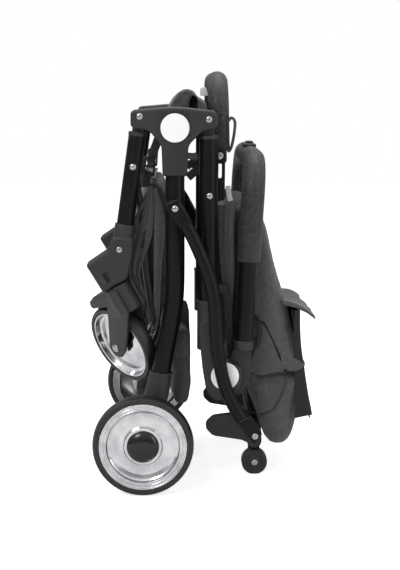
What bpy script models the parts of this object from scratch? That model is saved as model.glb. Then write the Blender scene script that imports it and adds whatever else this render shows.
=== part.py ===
"""Compact cabin stroller, folded and standing on its rear wheels and stand feet.

Frame: metres, +Z up, the floor at Z = 0, the stroller's front towards -X and its left
side towards -Y. Every moving group hangs under an empty on its joint's axis.
"""
import bpy
import bmesh
from math import atan2, cos, degrees, pi, radians, sin, tan
from mathutils import Matrix, Vector

# Clearances
GAP = 0.0003
RUN_GAP = 0.0008

# Overall layout; the shift puts the origin under the middle of the whole product
CENTRE_SHIFT = -0.0021
LEG_Y = 0.163
WHEEL_REACH = 0.0425
TRACK_Y = LEG_Y + WHEEL_REACH
STAY_Y = 0.192
AXLE_X = -0.0877

# Wheels
REAR_WHEEL_R = 0.075
REAR_WHEEL_W = 0.030
FRONT_WHEEL_R = 0.065
FRONT_WHEEL_W = 0.024
TYRE_DEPTH = 0.0095
WHEEL_STEPS = 24
AXLE_R = 0.005

# Frame tubes
REAR_LEG_R = 0.014
FRONT_LEG_R = 0.01275
HANDLE_R = 0.014
UPPER_R = 0.0137
GRIP_R = 0.0173
STAY_R = 0.010
BUMPER_R = 0.0155
CROSSBAR_R = 0.011
SLIM_TUBE_R = 0.0085
SEAT_TUBE_R = 0.006

# Side view positions, (x, z)
HUB = Vector((-0.0405, REAR_WHEEL_R + 0.4646))
DRAWN_HUB = Vector((-0.0405, 0.5396))
FRONT_PIVOT = HUB + Vector((-0.0507, 0.0163))
HANDLE_PIVOT = HUB + Vector((0.0490, 0.0122))
STAY_PIVOT = HUB + Vector((0.0000, -0.1144))
HINGE = HANDLE_PIVOT + Vector((0.0252, -0.3788))
STAY_FOOT = STAY_PIVOT + Vector((0.1185, -0.3381))
STAY_BAR_END = STAY_PIVOT + Vector((0.1040, -0.3200))
LEG_BEND = HUB + Vector((0.0000, -0.2300))
LEG_END = Vector((-0.0668, REAR_WHEEL_R + 0.0740))
AXLE = Vector((AXLE_X, REAR_WHEEL_R))

# Hub bracket
HUB_HALF = 0.0175
HUB_ARM_L = 0.0640
HUB_ARM_R = 0.0618
HUB_TOP = 0.0285
HUB_STEM_R = 0.0180
HUB_STEM = 0.0700
TUBE_INSERT = 0.026
CAP_R = 0.0208
CAP_T = 0.0018
CAP_PROUD = 0.0007
TONGUE_R = 0.0085
TONGUE_HALF = 0.0080
TUBE_DROP = 0.0245
PIN_R = 0.0032
RIVET_R = 0.0056
RIVET_H = 0.0024

# Front leg and caster
FRONT_LEG_RUN = Vector((-0.0206, -0.1463))
FRONT_LEG_LEN = 0.150
SHOE_HALF = 0.0165
CASTER_TILT = radians(30)
CASTER_TRAIL = 0.067
CASTER_DROP = 0.0890
CASTER_TURN = radians(127)
CROWN_R = 0.0190
CROWN_H = 0.0170
FORK_WALL = 0.0042

# Folding hinge
HINGE_HALF = 0.0165
SLEEVE_R = 0.0163
SLEEVE_LOW = 0.0385
LOWER_SLEEVE_TOP = 0.1130
UPPER_SLEEVE_TOP = 0.0520
UPPER_LEAN = radians(3.2)

# Upper handle
GRIP_BOTTOM = 0.170
GRIP_TOP = 0.3175
GRIP_CORNER = 0.052

# Bumper bar
BUMPER_PIVOT = HANDLE_PIVOT + Vector((0.0170, -0.0539))
BUMPER_Y = 0.128
BUMPER_RISE = 0.1020
BUMPER_CORNER = 0.046

# Canopy, cloth and straps
CLOTH_CLEAR = 0.0103
CLOTH_HALF = LEG_Y - UPPER_R - CLOTH_CLEAR
BOW_R = 0.0025
BOW_Y = CLOTH_HALF + BOW_R + 0.0010
CLIP_Y = BOW_Y + BOW_R + 0.0005

# Stand
STAND_Y = 0.100
FOOT_R = 0.020
FOOT_W = 0.022
FOOT_FLAT = 0.001
FOOT_X = 0.0833

# Facets: the turn and the radius that each add one step to an arc
ARC_STEP = 1.5
ARC_SIZE = 0.030

SIDES = ((-1, "l"), (1, "r"))


def start_scene():
    for item in list(bpy.data.objects):
        bpy.data.objects.remove(item, do_unlink=True)
    for group in list(bpy.data.collections):
        bpy.data.collections.remove(group)
    parts = bpy.data.collections.new("compact_stroller")
    cutters = bpy.data.collections.new("cutters")
    bpy.context.scene.collection.children.link(parts)
    bpy.context.scene.collection.children.link(cutters)
    return parts, cutters


PARTS, CUTTERS = start_scene()


def material(name, colour, roughness, metallic=0.0):
    made = bpy.data.materials.new(name)
    made.use_nodes = True
    shader = made.node_tree.nodes["Principled BSDF"]
    shader.inputs["Base Color"].default_value = (*colour, 1.0)
    shader.inputs["Roughness"].default_value = roughness
    shader.inputs["Metallic"].default_value = metallic
    return made


PAINT = material("black_tube", (0.018, 0.019, 0.020), 0.42, 0.2)
PLASTIC = material("charcoal_plastic", (0.032, 0.035, 0.035), 0.55)
LEATHER = material("grip_leatherette", (0.014, 0.014, 0.014), 0.6)
TYRE = material("tyre_rubber", (0.030, 0.030, 0.031), 0.7)
CHROME = material("chrome_dish", (0.75, 0.76, 0.78), 0.12, 1.0)
STEEL = material("bright_steel", (0.62, 0.62, 0.62), 0.3, 1.0)
WHITE = material("white_disc", (0.85, 0.85, 0.85), 0.4)
CLOTH = material("melange_cloth", (0.075, 0.070, 0.078), 0.95)
WEBBING = material("webbing", (0.085, 0.085, 0.090), 0.85)


def body(name, point, y=0.0, parent=None):
    """An empty on a joint's axis, which carries the pieces that move together."""
    empty = bpy.data.objects.new(name, None)
    empty.empty_display_size = 0.03
    PARTS.objects.link(empty)
    location = Vector((point[0], y, point[1]))
    if parent is not None:
        empty.parent = parent
        location = location - world_of(parent)
    empty.location = location
    return empty


def world_of(empty):
    place = Vector(empty.location)
    while empty.parent is not None:
        empty = empty.parent
        place = place + empty.location
    return place


def keep(name, mesh, look, owner, smooth=35):
    """Makes a sub-part of a mesh in world coordinates and hangs it under its body."""
    mesh.transform(Matrix.Translation(-world_of(owner)))
    mesh.name = name
    mesh.materials.clear()
    mesh.materials.append(look)
    mesh.shade_smooth()
    mesh.set_sharp_from_angle(angle=radians(smooth))
    made = bpy.data.objects.new(name, mesh)
    made.parent = owner
    PARTS.objects.link(made)
    return made


def read_mesh(source, weld=0.00002):
    """The evaluated mesh of a guide object in world space, welded; the guide is removed."""
    bpy.context.view_layer.update()
    graph = bpy.context.evaluated_depsgraph_get()
    mesh = bpy.data.meshes.new_from_object(source.evaluated_get(graph))
    mesh.transform(source.matrix_world)
    bpy.data.objects.remove(source, do_unlink=True)
    soup = bmesh.new()
    soup.from_mesh(mesh)
    if weld > 0.0:
        bmesh.ops.remove_doubles(soup, verts=soup.verts, dist=weld)
    bmesh.ops.recalc_face_normals(soup, faces=soup.faces)
    soup.to_mesh(mesh)
    soup.free()
    return mesh


def guide(data):
    made = bpy.data.objects.new("guide", data)
    CUTTERS.objects.link(made)
    return made


def tube_mesh(points, radius, sides=4, radii=None):
    """A round tube along a polyline, with flat caps."""
    curve = bpy.data.curves.new("tube", "CURVE")
    curve.dimensions = "3D"
    curve.bevel_depth = radius
    curve.bevel_resolution = sides
    curve.use_fill_caps = True
    spline = curve.splines.new("POLY")
    spline.points.add(len(points) - 1)
    for index, point in enumerate(points):
        spline.points[index].co = (*point, 1.0)
        spline.points[index].radius = 1.0 if radii is None else radii[index] / radius
    return read_mesh(guide(curve))


def smooth_route(points, steps=4):
    """A Catmull-Rom curve through the route's own points."""
    route = [Vector(point) for point in points]
    ends = [2 * route[0] - route[1]] + route + [2 * route[-1] - route[-2]]
    out = []
    for i in range(1, len(ends) - 2):
        a, b, c, d = ends[i - 1:i + 3]
        for step in range(steps):
            t = step / steps
            out.append(0.5 * ((2 * b) + (c - a) * t + (2 * a - 5 * b + 4 * c - d) * t * t
                              + (3 * b - a - 3 * c + d) * t ** 3))
    out.append(route[-1])
    return out


def arc(centre, radius, start, end, steps):
    """Points of a circular arc, angles in degrees."""
    out = []
    for step in range(steps + 1):
        angle = radians(start + (end - start) * step / steps)
        out.append((centre[0] + radius * cos(angle), centre[1] + radius * sin(angle)))
    return out


def rounded(corners):
    """An outline from (x, z, corner radius) with every corner made an arc."""
    out = []
    count = len(corners)
    for index in range(count):
        x, z, radius = corners[index]
        here = Vector((x, z))
        back = Vector(corners[index - 1][:2]) - here
        ahead = Vector(corners[(index + 1) % count][:2]) - here
        half = back.angle(ahead) / 2
        room = 0.48 * min(back.length, ahead.length)
        radius = min(radius, room * tan(half))
        if radius <= 0.0 or half > radians(88.5):
            out.append((x, z))
            continue
        back.normalize()
        ahead.normalize()
        middle = here + (back + ahead).normalized() * radius / sin(half)
        foot_a = here + back * radius / tan(half)
        foot_b = here + ahead * radius / tan(half)
        angle_a = atan2(foot_a.y - middle.y, foot_a.x - middle.x)
        angle_b = atan2(foot_b.y - middle.y, foot_b.x - middle.x)
        turn = (angle_b - angle_a + pi) % (2 * pi) - pi
        steps = 1 + round(abs(turn) / ARC_STEP + radius / ARC_SIZE)
        out += arc(middle, radius, degrees(angle_a), degrees(angle_a + turn), steps)
    return out


def capsule(a, b, radius_a, radius_b, steps=4):
    """The outline that wraps two circles."""
    a = Vector(a)
    b = Vector(b)
    along = degrees(atan2(b.y - a.y, b.x - a.x))
    lean = degrees(atan2(radius_a - radius_b, (b - a).length))
    return (arc(a, radius_a, along + 90 - lean, along + 270 + lean, steps)
            + arc(b, radius_b, along - 90 + lean, along + 90 - lean, steps))


def plate_mesh(outline, y0, y1, bevel=0.0, segments=1):
    """A side-view outline extruded from y0 to y1, its long edges rounded."""
    curve = bpy.data.curves.new("plate", "CURVE")
    curve.dimensions = "2D"
    curve.fill_mode = "BOTH"
    curve.extrude = abs(y1 - y0) / 2 - bevel
    curve.bevel_depth = bevel
    curve.bevel_resolution = segments - 1
    curve.offset = -bevel
    spline = curve.splines.new("POLY")
    spline.points.add(len(outline) - 1)
    for index, point in enumerate(outline):
        spline.points[index].co = (point[0], point[1], 0.0, 1.0)
    spline.use_cyclic_u = True
    made = guide(curve)
    made.rotation_euler = (pi / 2, 0.0, 0.0)
    made.location = (0.0, (y0 + y1) / 2, 0.0)
    return read_mesh(made)


def soften(mesh, width, segments=2, angle=50):
    """Rounds the sharp edges of a mesh."""
    made = guide(mesh)
    rounding = made.modifiers.new("Bevel", "BEVEL")
    rounding.width = width
    rounding.segments = segments
    rounding.limit_method = "ANGLE"
    rounding.angle_limit = radians(angle)
    rounding.use_clamp_overlap = True
    return read_mesh(made)


def box_mesh(low, high, bevel=0.0, segments=1):
    soup = bmesh.new()
    bmesh.ops.create_cube(soup, size=1.0)
    mesh = bpy.data.meshes.new("box")
    soup.to_mesh(mesh)
    soup.free()
    low = Vector(low)
    high = Vector(high)
    size = high - low
    mesh.transform(Matrix.Translation((low + high) / 2) @ Matrix.Diagonal((*size, 1.0)))
    if bevel > 0.0:
        mesh = soften(mesh, bevel, segments)
    return mesh


def turned_mesh(profile, centre, side=1, steps=32):
    """A closed profile of (radius, y) turned about a lateral axis through centre."""
    curve = bpy.data.meshes.new("profile")
    soup = bmesh.new()
    ring = [soup.verts.new((radius, y, 0.0)) for radius, y in profile]
    closed = all(radius > 0.0 for radius, y in profile)
    for index in range(len(ring) - (0 if closed else 1)):
        soup.edges.new((ring[index], ring[(index + 1) % len(ring)]))
    bmesh.ops.spin(soup, geom=soup.verts[:] + soup.edges[:], cent=(0, 0, 0), axis=(0, 1, 0),
                   angle=2 * pi, steps=steps, use_merge=True)
    bmesh.ops.remove_doubles(soup, verts=soup.verts, dist=0.00002)
    bmesh.ops.recalc_face_normals(soup, faces=soup.faces)
    soup.to_mesh(curve)
    soup.free()
    curve.transform(Matrix.Diagonal((1.0, float(side), 1.0, 1.0)))
    if side < 0:
        curve.flip_normals()
    curve.transform(Matrix.Translation(centre))
    return curve


def rod_mesh(start, end, radius, sides=14):
    """A straight round bar between two points."""
    start = Vector(start)
    end = Vector(end)
    soup = bmesh.new()
    bmesh.ops.create_cone(soup, cap_ends=True, segments=sides, radius1=radius, radius2=radius,
                          depth=(end - start).length)
    mesh = bpy.data.meshes.new("rod")
    soup.to_mesh(mesh)
    soup.free()
    turn = (end - start).to_track_quat("Z", "Y").to_matrix().to_4x4()
    mesh.transform(Matrix.Translation((start + end) / 2) @ turn)
    return mesh


def combine(base, others, operation):
    """Boolean of a mesh with a list of meshes."""
    made = guide(base)
    tools = []
    for index, other in enumerate(others):
        tool = guide(other)
        tools.append(tool)
        step = made.modifiers.new(f"{operation}_{index}", "BOOLEAN")
        step.operation = operation
        step.object = tool
        step.solver = "EXACT"
    mesh = read_mesh(made, 0.0)
    for tool in tools:
        bpy.data.objects.remove(tool, do_unlink=True)
    return mesh


def cut(base, *others):
    return combine(base, others, "DIFFERENCE")


def join(base, *others):
    return combine(base, others, "UNION")


def at(side, point, y):
    return Vector((point[0], side * y, point[1]))


def rivet_mesh(side, point, y, length, radius=RIVET_R, height=RIVET_H):
    """A domed rivet: its head on the face at y, its shank reaching inwards."""
    head = [(0.0, height), (radius * 0.62, height * 0.74), (radius, 0.0003), (radius, -0.0006)]
    shank = [(PIN_R, -0.0006), (PIN_R, -length), (0.0, -length)]
    return turned_mesh(head + shank, at(side, point, y), side, 10)


def drawn(outline):
    """A cloth outline, drawn with the hub at DRAWN_HUB, moved to where the hub is."""
    move = HUB - DRAWN_HUB
    return [(x + move.x, z + move.y) for x, z in outline]


def soft_mesh(outline, half_width, crown, ends=(0.0, 0.55, 0.86, 1.0), fold=None):
    """A cloth bundle: a side outline carried across the width, drawn in at its two ends.

    crown is how far the outline shrinks at the outer ends, fold(x, y, z) a small shift.
    """
    count = len(outline)
    middle = Vector((sum(p[0] for p in outline) / count, sum(p[1] for p in outline) / count))
    stations = [-y * half_width for y in reversed(ends[1:])] + [y * half_width for y in ends]
    soup = bmesh.new()
    rings = []
    for y in stations:
        share = abs(y) / half_width
        ring = []
        for x, z in outline:
            point = Vector((x, z))
            inward = middle - point
            drawn = crown * share ** 4
            point = point + inward.normalized() * min(drawn, inward.length * 0.5)
            place = Vector((point.x, y, point.y))
            if fold is not None:
                place = place + fold(place.x, place.y, place.z)
            ring.append(soup.verts.new(place))
        rings.append(ring)
    for near, far in zip(rings, rings[1:]):
        for index in range(count):
            after = (index + 1) % count
            soup.faces.new((near[index], near[after], far[after], far[index]))
    soup.faces.new(rings[0][::-1])
    soup.faces.new(rings[-1])
    bmesh.ops.triangulate(soup, faces=[face for face in soup.faces if len(face.verts) > 4])
    bmesh.ops.recalc_face_normals(soup, faces=soup.faces)
    mesh = bpy.data.meshes.new("cloth")
    soup.to_mesh(mesh)
    soup.free()
    return mesh


# Bodies
ROOT = body("frame_body", HUB)
REAR_WHEELS = {tag: body(f"rear_wheel_body_{tag}", AXLE, side * TRACK_Y, ROOT) for side, tag in SIDES}
BRAKE = body("brake_body", AXLE, 0.0, ROOT)
FRONT = body("front_body", FRONT_PIVOT, 0.0, ROOT)
HANDLE = body("handle_body", HANDLE_PIVOT, 0.0, ROOT)
UPPER = body("upper_handle_body", HINGE, 0.0, HANDLE)
BUMPER = body("bumper_body", BUMPER_PIVOT, 0.0, HANDLE)
STAY = body("stay_body", STAY_PIVOT, 0.0, ROOT)

# Points that several pieces share
LEG_DIRECTION = FRONT_LEG_RUN.normalized()
FRONT_LEG_TOP = FRONT_PIVOT + LEG_DIRECTION * TUBE_DROP
FRONT_LEG_END = FRONT_LEG_TOP + LEG_DIRECTION * FRONT_LEG_LEN
SEAT_PIVOT = FRONT_PIVOT + LEG_DIRECTION * 0.0735
CASTER_TOP = FRONT_LEG_END + Vector((-0.0127, -0.0755))
CASTER_AXIS = Vector((-sin(CASTER_TILT), 0.0, cos(CASTER_TILT)))
UPPER_DIRECTION = Vector((sin(UPPER_LEAN), cos(UPPER_LEAN)))
UPPER_START = Vector((HINGE.x + HINGE.x - HANDLE_PIVOT.x, HINGE.y))
CANOPY_PIVOT = HANDLE_PIVOT + Vector((0.0260, -0.2518))
VISOR = body("visor_body", CANOPY_PIVOT, 0.0, HANDLE)
SEAT = body("seat_body", SEAT_PIVOT, 0.0, FRONT)
CASTERS = {tag: body(f"caster_body_{tag}", CASTER_TOP, side * LEG_Y, FRONT) for side, tag in SIDES}


def hub(side, tag):
    """T-shaped bracket: slots for the front leg and handle tongues, a socket for the rear leg."""
    x, z = HUB
    stem = HUB_STEM_R
    outline = rounded([
        (x - HUB_ARM_L, z + 0.0000, 0.007), (x - HUB_ARM_L, z + HUB_TOP - 0.0035, 0.007),
        (x, z + HUB_TOP + 0.0022, 0.20), (x + HUB_ARM_R, z + HUB_TOP - 0.0045, 0.010),
        (x + HUB_ARM_R, z - 0.0005, 0.008), (x + 0.0400, z - 0.0045, 0.02),
        (x + stem + 0.0015, z - 0.0250, 0.018), (x + stem, z - HUB_STEM, 0.004),
        (x - stem, z - HUB_STEM, 0.004), (x - stem - 0.0015, z - 0.0250, 0.018),
        (x - 0.0380, z - 0.0035, 0.02)])
    inner = side * (LEG_Y - HUB_HALF + 0.0025)
    outer = side * (LEG_Y + HUB_HALF + 0.0025)
    base = plate_mesh(outline, inner, outer, 0.0035, 1)
    half = TONGUE_HALF + RUN_GAP
    lower = z - 0.05
    clear = TONGUE_R + RUN_GAP
    fx, fz = FRONT_PIVOT
    px, pz = HANDLE_PIVOT
    low_y = side * LEG_Y - half
    high_y = side * LEG_Y + half
    front_slot = box_mesh((fx - 0.05, low_y, lower), (fx + clear, high_y, fz + clear + 0.0004))
    rise = Vector((0.03, 0.03 * 0.13))
    wedge = [(px - clear, lower), (px + 0.06, lower), (px + 0.06, pz + clear + 2 * rise.y),
             (px - clear, pz + clear)]
    handle_slot = plate_mesh(wedge, low_y, high_y)
    socket = rod_mesh(at(side, (x, z - HUB_STEM - 0.01), LEG_Y), at(side,
                                                                    (x, z - HUB_STEM + TUBE_INSERT), LEG_Y),
                      REAR_LEG_R + GAP, 16)
    recess = turned_mesh([(0.0, 0.01), (CAP_R + GAP, 0.01), (CAP_R + GAP, CAP_PROUD - CAP_T),
                          (0.0, CAP_PROUD - CAP_T)],
                         (x, outer, z), side, 16)
    pins = [rivet_mesh(side, point, LEG_Y + HUB_HALF + 0.0025 - 0.0005, 2 * HUB_HALF - 0.0015)
            for point in (FRONT_PIVOT, HANDLE_PIVOT)]
    shell = cut(base, front_slot, handle_slot, socket, recess)
    keep(f"hub_{tag}", join(shell, *pins), PLASTIC, ROOT)


def disc_mesh(side, point, face_y, radius=CAP_R):
    """A flat cap seated in its recess, with a small edge radius."""
    edge = 0.0005
    low = CAP_PROUD - CAP_T + GAP
    return turned_mesh([(0.0, CAP_PROUD), (radius - edge, CAP_PROUD), (radius, CAP_PROUD - edge),
                        (radius, low),
                        (0.0, low)], at(side, point, face_y), side, 16)


def rear_leg(side, tag):
    route = [(HUB.x, HUB.y - HUB_STEM + TUBE_INSERT - GAP), (HUB.x, HUB.y - 0.12)]
    route += [(LEG_BEND.x, LEG_BEND.y), (-0.0448, LEG_BEND.y - 0.045), (-0.0540, LEG_BEND.y - 0.094)]
    route += [(LEG_END.x, LEG_END.y)]
    points = smooth_route([at(side, point, LEG_Y) for point in route], 2)
    bore = tube_mesh(points, REAR_LEG_R + GAP)
    points[-1] = points[-1] + (points[-2] - points[-1]).normalized() * GAP
    spacer = rod_mesh(at(side, STAY_PIVOT, LEG_Y), at(side, STAY_PIVOT,
                                                      STAY_Y - STAY_R - 0.0008 - GAP), 0.0075, 10)
    pin = rivet_mesh(side, STAY_PIVOT, STAY_Y + STAY_R + 0.0008 + GAP + 0.0006, STAY_Y + STAY_R - LEG_Y)
    keep(f"rear_leg_{tag}", join(tube_mesh(points, REAR_LEG_R), spacer, pin), PAINT, ROOT)
    top = LEG_END + (Vector((-0.0540, LEG_BEND.y - 0.094)) - LEG_END).normalized() * 0.028
    foot = AXLE + Vector((0.0030, 0.0080))
    spine = [at(side, top, LEG_Y), at(side, LEG_END, LEG_Y), at(side, (LEG_END + foot) / 2, LEG_Y),
             at(side, foot, LEG_Y)]
    shell = tube_mesh(smooth_route(spine, 2), 0.018, 4, [0.0166, 0.0170, 0.0178, 0.0185, 0.0190,
                                                         0.0190, 0.0175])
    boss = rod_mesh(at(side, AXLE, LEG_Y - 0.0180), at(side, AXLE,
                                                       TRACK_Y - REAR_WHEEL_W / 2 - RUN_GAP), 0.0215, 20)
    bar = rod_mesh(at(side, AXLE, LEG_Y - 0.03), at(side, AXLE, LEG_Y - 0.008), CROSSBAR_R + GAP, 16)
    pin = rod_mesh(at(side, AXLE, LEG_Y - 0.010), at(side, AXLE, TRACK_Y), AXLE_R + GAP, 12)
    keep(f"rear_socket_{tag}", cut(join(shell, boss), bore, bar, pin), PLASTIC, ROOT)


def rear_axle():
    """The cross tube with the stub axles that stand out of its ends."""
    reach = LEG_Y - 0.008 - GAP
    end = TRACK_Y + 0.0090
    tube = rod_mesh((AXLE.x, -reach, AXLE.y), (AXLE.x, reach, AXLE.y), CROSSBAR_R, 16)
    pins = rod_mesh((AXLE.x, -end, AXLE.y), (AXLE.x, end, AXLE.y), AXLE_R, 16)
    keep("rear_axle_bar", join(tube, pins), PAINT, ROOT)


def tyre_mesh(side, centre, radius, width, depth=TYRE_DEPTH):
    """A rubber ring with a crowned tread and a bead groove on the rim."""
    half = width / 2
    tread = [(radius - 0.0038, half - 0.0016), (radius - 0.0009, half * 0.62), (radius, 0.0)]
    tread += [(r, -y) for r, y in reversed(tread[:-1])]
    bead = [(radius - depth, -half * 0.86), (radius - depth, half * 0.86)]
    return turned_mesh(tread + bead, centre, side, WHEEL_STEPS)


def dish_mesh(side, centre, radius, width, bore, hub_r, both=True):
    """A dished rim: stepped outer rings, a deep polished dish and a hub tube round the axle."""
    half = width / 2
    seat = radius - TYRE_DEPTH - GAP
    web = 0.0014
    face = [(bore, half * 0.56), (hub_r, half * 0.56), (seat * 0.50, web * 1.6),
            (seat * 0.82, half * 0.46), (seat * 0.87, half * 0.82), (seat, half * 0.78)]
    back = [(r, -y) for r, y in reversed(face)]
    return turned_mesh(face + back, centre, side, WHEEL_STEPS)


def rear_wheel(side, tag):
    centre = at(side, AXLE, TRACK_Y)
    owner = REAR_WHEELS[tag]
    keep(f"rear_tyre_{tag}", tyre_mesh(side, centre, REAR_WHEEL_R, REAR_WHEEL_W), TYRE, owner)
    keep(f"rear_rim_{tag}", dish_mesh(side, centre, REAR_WHEEL_R, REAR_WHEEL_W, AXLE_R + GAP, 0.026),
         CHROME, owner)
    base = REAR_WHEEL_W / 2 * 0.56 + GAP
    cap = [(0.0, base + 0.0085), (0.010, base + 0.0080), (0.0185, base + 0.0058), (0.0230, base + 0.0022),
           (0.0240, base), (0.0080, base), (0.0070, base + 0.0015), (0.0, base + 0.0015)]
    keep(f"rear_wheel_cap_{tag}", turned_mesh(cap, centre, side, 14), PLASTIC, owner)


def brake_pedal():
    """A pedal bar that turns on the rear crossbar."""
    ring = CROSSBAR_R + 0.0004
    outline = capsule((AXLE.x, AXLE.y), (AXLE.x + 0.046, AXLE.y - 0.026), 0.0155, 0.006)
    arms = []
    for y in (-0.052, 0.044):
        arm = plate_mesh(outline, y, y + 0.008)
        arms.append(cut(arm, rod_mesh((AXLE.x, y - 0.01, AXLE.y), (AXLE.x, y + 0.02, AXLE.y), ring, 16)))
    tread = box_mesh((AXLE.x + 0.030, -0.060, AXLE.y - 0.0290), (AXLE.x + 0.056, 0.060,
                                                                 AXLE.y - 0.0220), 0.0025)
    keep("brake_pedal", join(tread, *arms), PLASTIC, BRAKE)


def front_leg(side, tag):
    top = at(side, FRONT_LEG_TOP, LEG_Y)
    end = at(side, FRONT_LEG_END, LEG_Y)
    tongue = tongue_mesh(side, FRONT_PIVOT, LEG_DIRECTION, FRONT_LEG_R + 0.0006)
    rivet = rivet_mesh(side, SEAT_PIVOT, LEG_Y + FRONT_LEG_R - 0.0006, 2 * FRONT_LEG_R + 0.0083)
    keep(f"front_leg_{tag}", join(rod_mesh(top, end, FRONT_LEG_R, 16), tongue, rivet), PAINT, FRONT)


def tongue_mesh(side, pivot, direction, radius):
    """A tube's plastic end: a collar on the tube and a flat tongue round the pivot pin."""
    start = pivot + direction * (TUBE_DROP + 0.0043)
    collar = rod_mesh(at(side, pivot + direction * (TUBE_DROP - 0.0012), LEG_Y), at(side, start,
                                                                                    LEG_Y), radius, 16)
    outline = capsule(pivot, pivot + direction * TUBE_DROP, TONGUE_R, TONGUE_R)
    tongue = plate_mesh(outline, side * LEG_Y - TONGUE_HALF, side * LEG_Y + TONGUE_HALF)
    hole = rod_mesh(at(side, pivot, LEG_Y - 0.02), at(side, pivot, LEG_Y + 0.02), PIN_R + GAP, 10)
    return cut(join(collar, tongue), hole)


def front_shoe(side, tag):
    """The plastic shoe on the leg's end and the caster housing that it carries."""
    ex, ez = FRONT_LEG_END
    housing = rounded([
        (ex + 0.0134, ez - 0.0015, 0.004), (ex + 0.0133, ez - 0.0270, 0.03),
                (ex + 0.0045, ez - 0.0640, 0.003),
        (ex - 0.0305, ez - 0.0855, 0.003), (ex - 0.0562, ez - 0.0432, 0.004),
                (ex - 0.0245, ez - 0.0215, 0.003),
        (ex - 0.0150, ez - 0.0015, 0.006)])
    base = plate_mesh(housing, side * (LEG_Y - SHOE_HALF), side * (LEG_Y + SHOE_HALF), 0.0045)
    collar = rod_mesh(at(side, FRONT_LEG_END - LEG_DIRECTION * 0.016, LEG_Y), at(side,
                    FRONT_LEG_END + LEG_DIRECTION * 0.03, LEG_Y),
                      FRONT_LEG_R + 0.0024, 16)
    bore = rod_mesh(at(side, FRONT_LEG_END - LEG_DIRECTION * 0.03, LEG_Y), at(side,
                    FRONT_LEG_END + LEG_DIRECTION * GAP, LEG_Y),
                    FRONT_LEG_R + GAP, 16)
    slot_mid = CASTER_TOP + Vector((CASTER_AXIS.x, CASTER_AXIS.z)) * 0.0165
    across = Vector((cos(CASTER_TILT), sin(CASTER_TILT))) * 0.0075
    slot = plate_mesh(capsule(slot_mid - across, slot_mid + across, 0.0036, 0.0036, 4),
                      side * (LEG_Y + SHOE_HALF - 0.0030), side * (LEG_Y + SHOE_HALF + 0.01))
    pin = rod_mesh(caster_point(side, (0, 0, -0.01)), caster_point(side, (0, 0, 0.0215)),
                   0.0055 + RUN_GAP, 12)
    screw = rivet_mesh(side, FRONT_LEG_END + Vector((-0.0065, -0.0205)), LEG_Y + SHOE_HALF, 0.004,
                       0.0042, 0.0014)
    keep(f"front_shoe_{tag}", join(cut(join(base, collar), bore, slot, pin), screw), PLASTIC, FRONT)


def caster_frame(side):
    """The caster's own frame: z up its swivel axis, x across it towards the rear of the frame."""
    lean = Matrix.Rotation(-CASTER_TILT, 4, "Y")
    turn = Matrix.Rotation(-side * CASTER_TURN, 4, "Z")
    return Matrix.Translation(at(side, CASTER_TOP, LEG_Y)) @ lean @ turn


def caster_point(side, point):
    return caster_frame(side) @ Vector(point)


def place_in_caster(mesh, side):
    mesh.transform(caster_frame(side))
    return mesh


def axle_bolt(axle, outer):
    """The wheel's axle, with a domed head on each fork leg."""
    head = [(0.0, outer + 0.0030), (0.0046, outer + 0.0024), (0.0070, outer + 0.0006),
            (0.0070, outer - 0.0010),
            (0.0040, outer - 0.0010)]
    return turned_mesh(head + [(r, -y) for r, y in reversed(head)], (axle.x, 0.0, axle.y), 1, 12)


def caster(side, tag):
    """Swivelling fork with its stem, wheel, polished dish and axle bolt."""
    owner = CASTERS[tag]
    inner = FRONT_WHEEL_W / 2 + 0.0018
    outer = inner + FORK_WALL
    axle = Vector((CASTER_TRAIL, -CASTER_DROP))
    crown = rod_mesh((0, 0, -GAP * 2), (0, 0, -CROWN_H), CROWN_R, 16)
    stem = rod_mesh((0, 0, -0.004), (0, 0, 0.0205), 0.0055, 10)
    bridge = rounded([(-0.0165, -0.0050, 0.004), (0.0170, -0.0050, 0.004), (0.0330, -0.0150, 0.006),
                      (0.0250, -0.0185, 0.002), (-0.0150, -0.0170, 0.003)])
    pieces = [stem, plate_mesh(bridge, -outer + 0.0006, outer - 0.0006)]
    leg = rounded([(-0.0150, -0.0080, 0.004), (0.0340, -0.0130, 0.008), (0.0520, -0.0400, 0.05),
                   (axle.x + 0.0105, axle.y + 0.004, 0.004), (axle.x + 0.0080, axle.y - 0.0100, 0.006),
                   (axle.x - 0.0080, axle.y - 0.0100, 0.006), (axle.x - 0.0125, axle.y + 0.008, 0.01),
                   (0.0230, -0.0500, 0.03)])
    for flip in (-1, 1):
        wall = plate_mesh(leg, flip * inner, flip * outer)
        pieces.append(wall)
    pieces.append(axle_bolt(axle, outer))
    keep(f"caster_fork_{tag}", place_in_caster(join(crown, *pieces), side), PLASTIC, owner)
    centre = (axle.x, 0.0, axle.y)
    wheel = body(f"front_wheel_body_{tag}", (0, 0), 0.0, owner)
    wheel.location = caster_point(side, centre) - world_of(owner)
    tyre = tyre_mesh(1, centre, FRONT_WHEEL_R, FRONT_WHEEL_W, 0.0085)
    keep(f"front_tyre_{tag}", place_in_caster(tyre, side), TYRE, wheel)
    rim = dish_mesh(1, centre, FRONT_WHEEL_R - TYRE_DEPTH + 0.0180 - 0.0075, FRONT_WHEEL_W,
                    0.004 + GAP, 0.0120)
    keep(f"front_rim_{tag}", place_in_caster(rim, side), CHROME, wheel)


def front_crossbar():
    at_shoe = FRONT_LEG_END + Vector((-0.0045, -0.0200))
    reach = LEG_Y - SHOE_HALF - GAP
    keep("footrest_bar", rod_mesh((at_shoe.x, -reach, at_shoe.y), (at_shoe.x, reach, at_shoe.y),
                                  SLIM_TUBE_R, 16), PAINT, FRONT)


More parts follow.
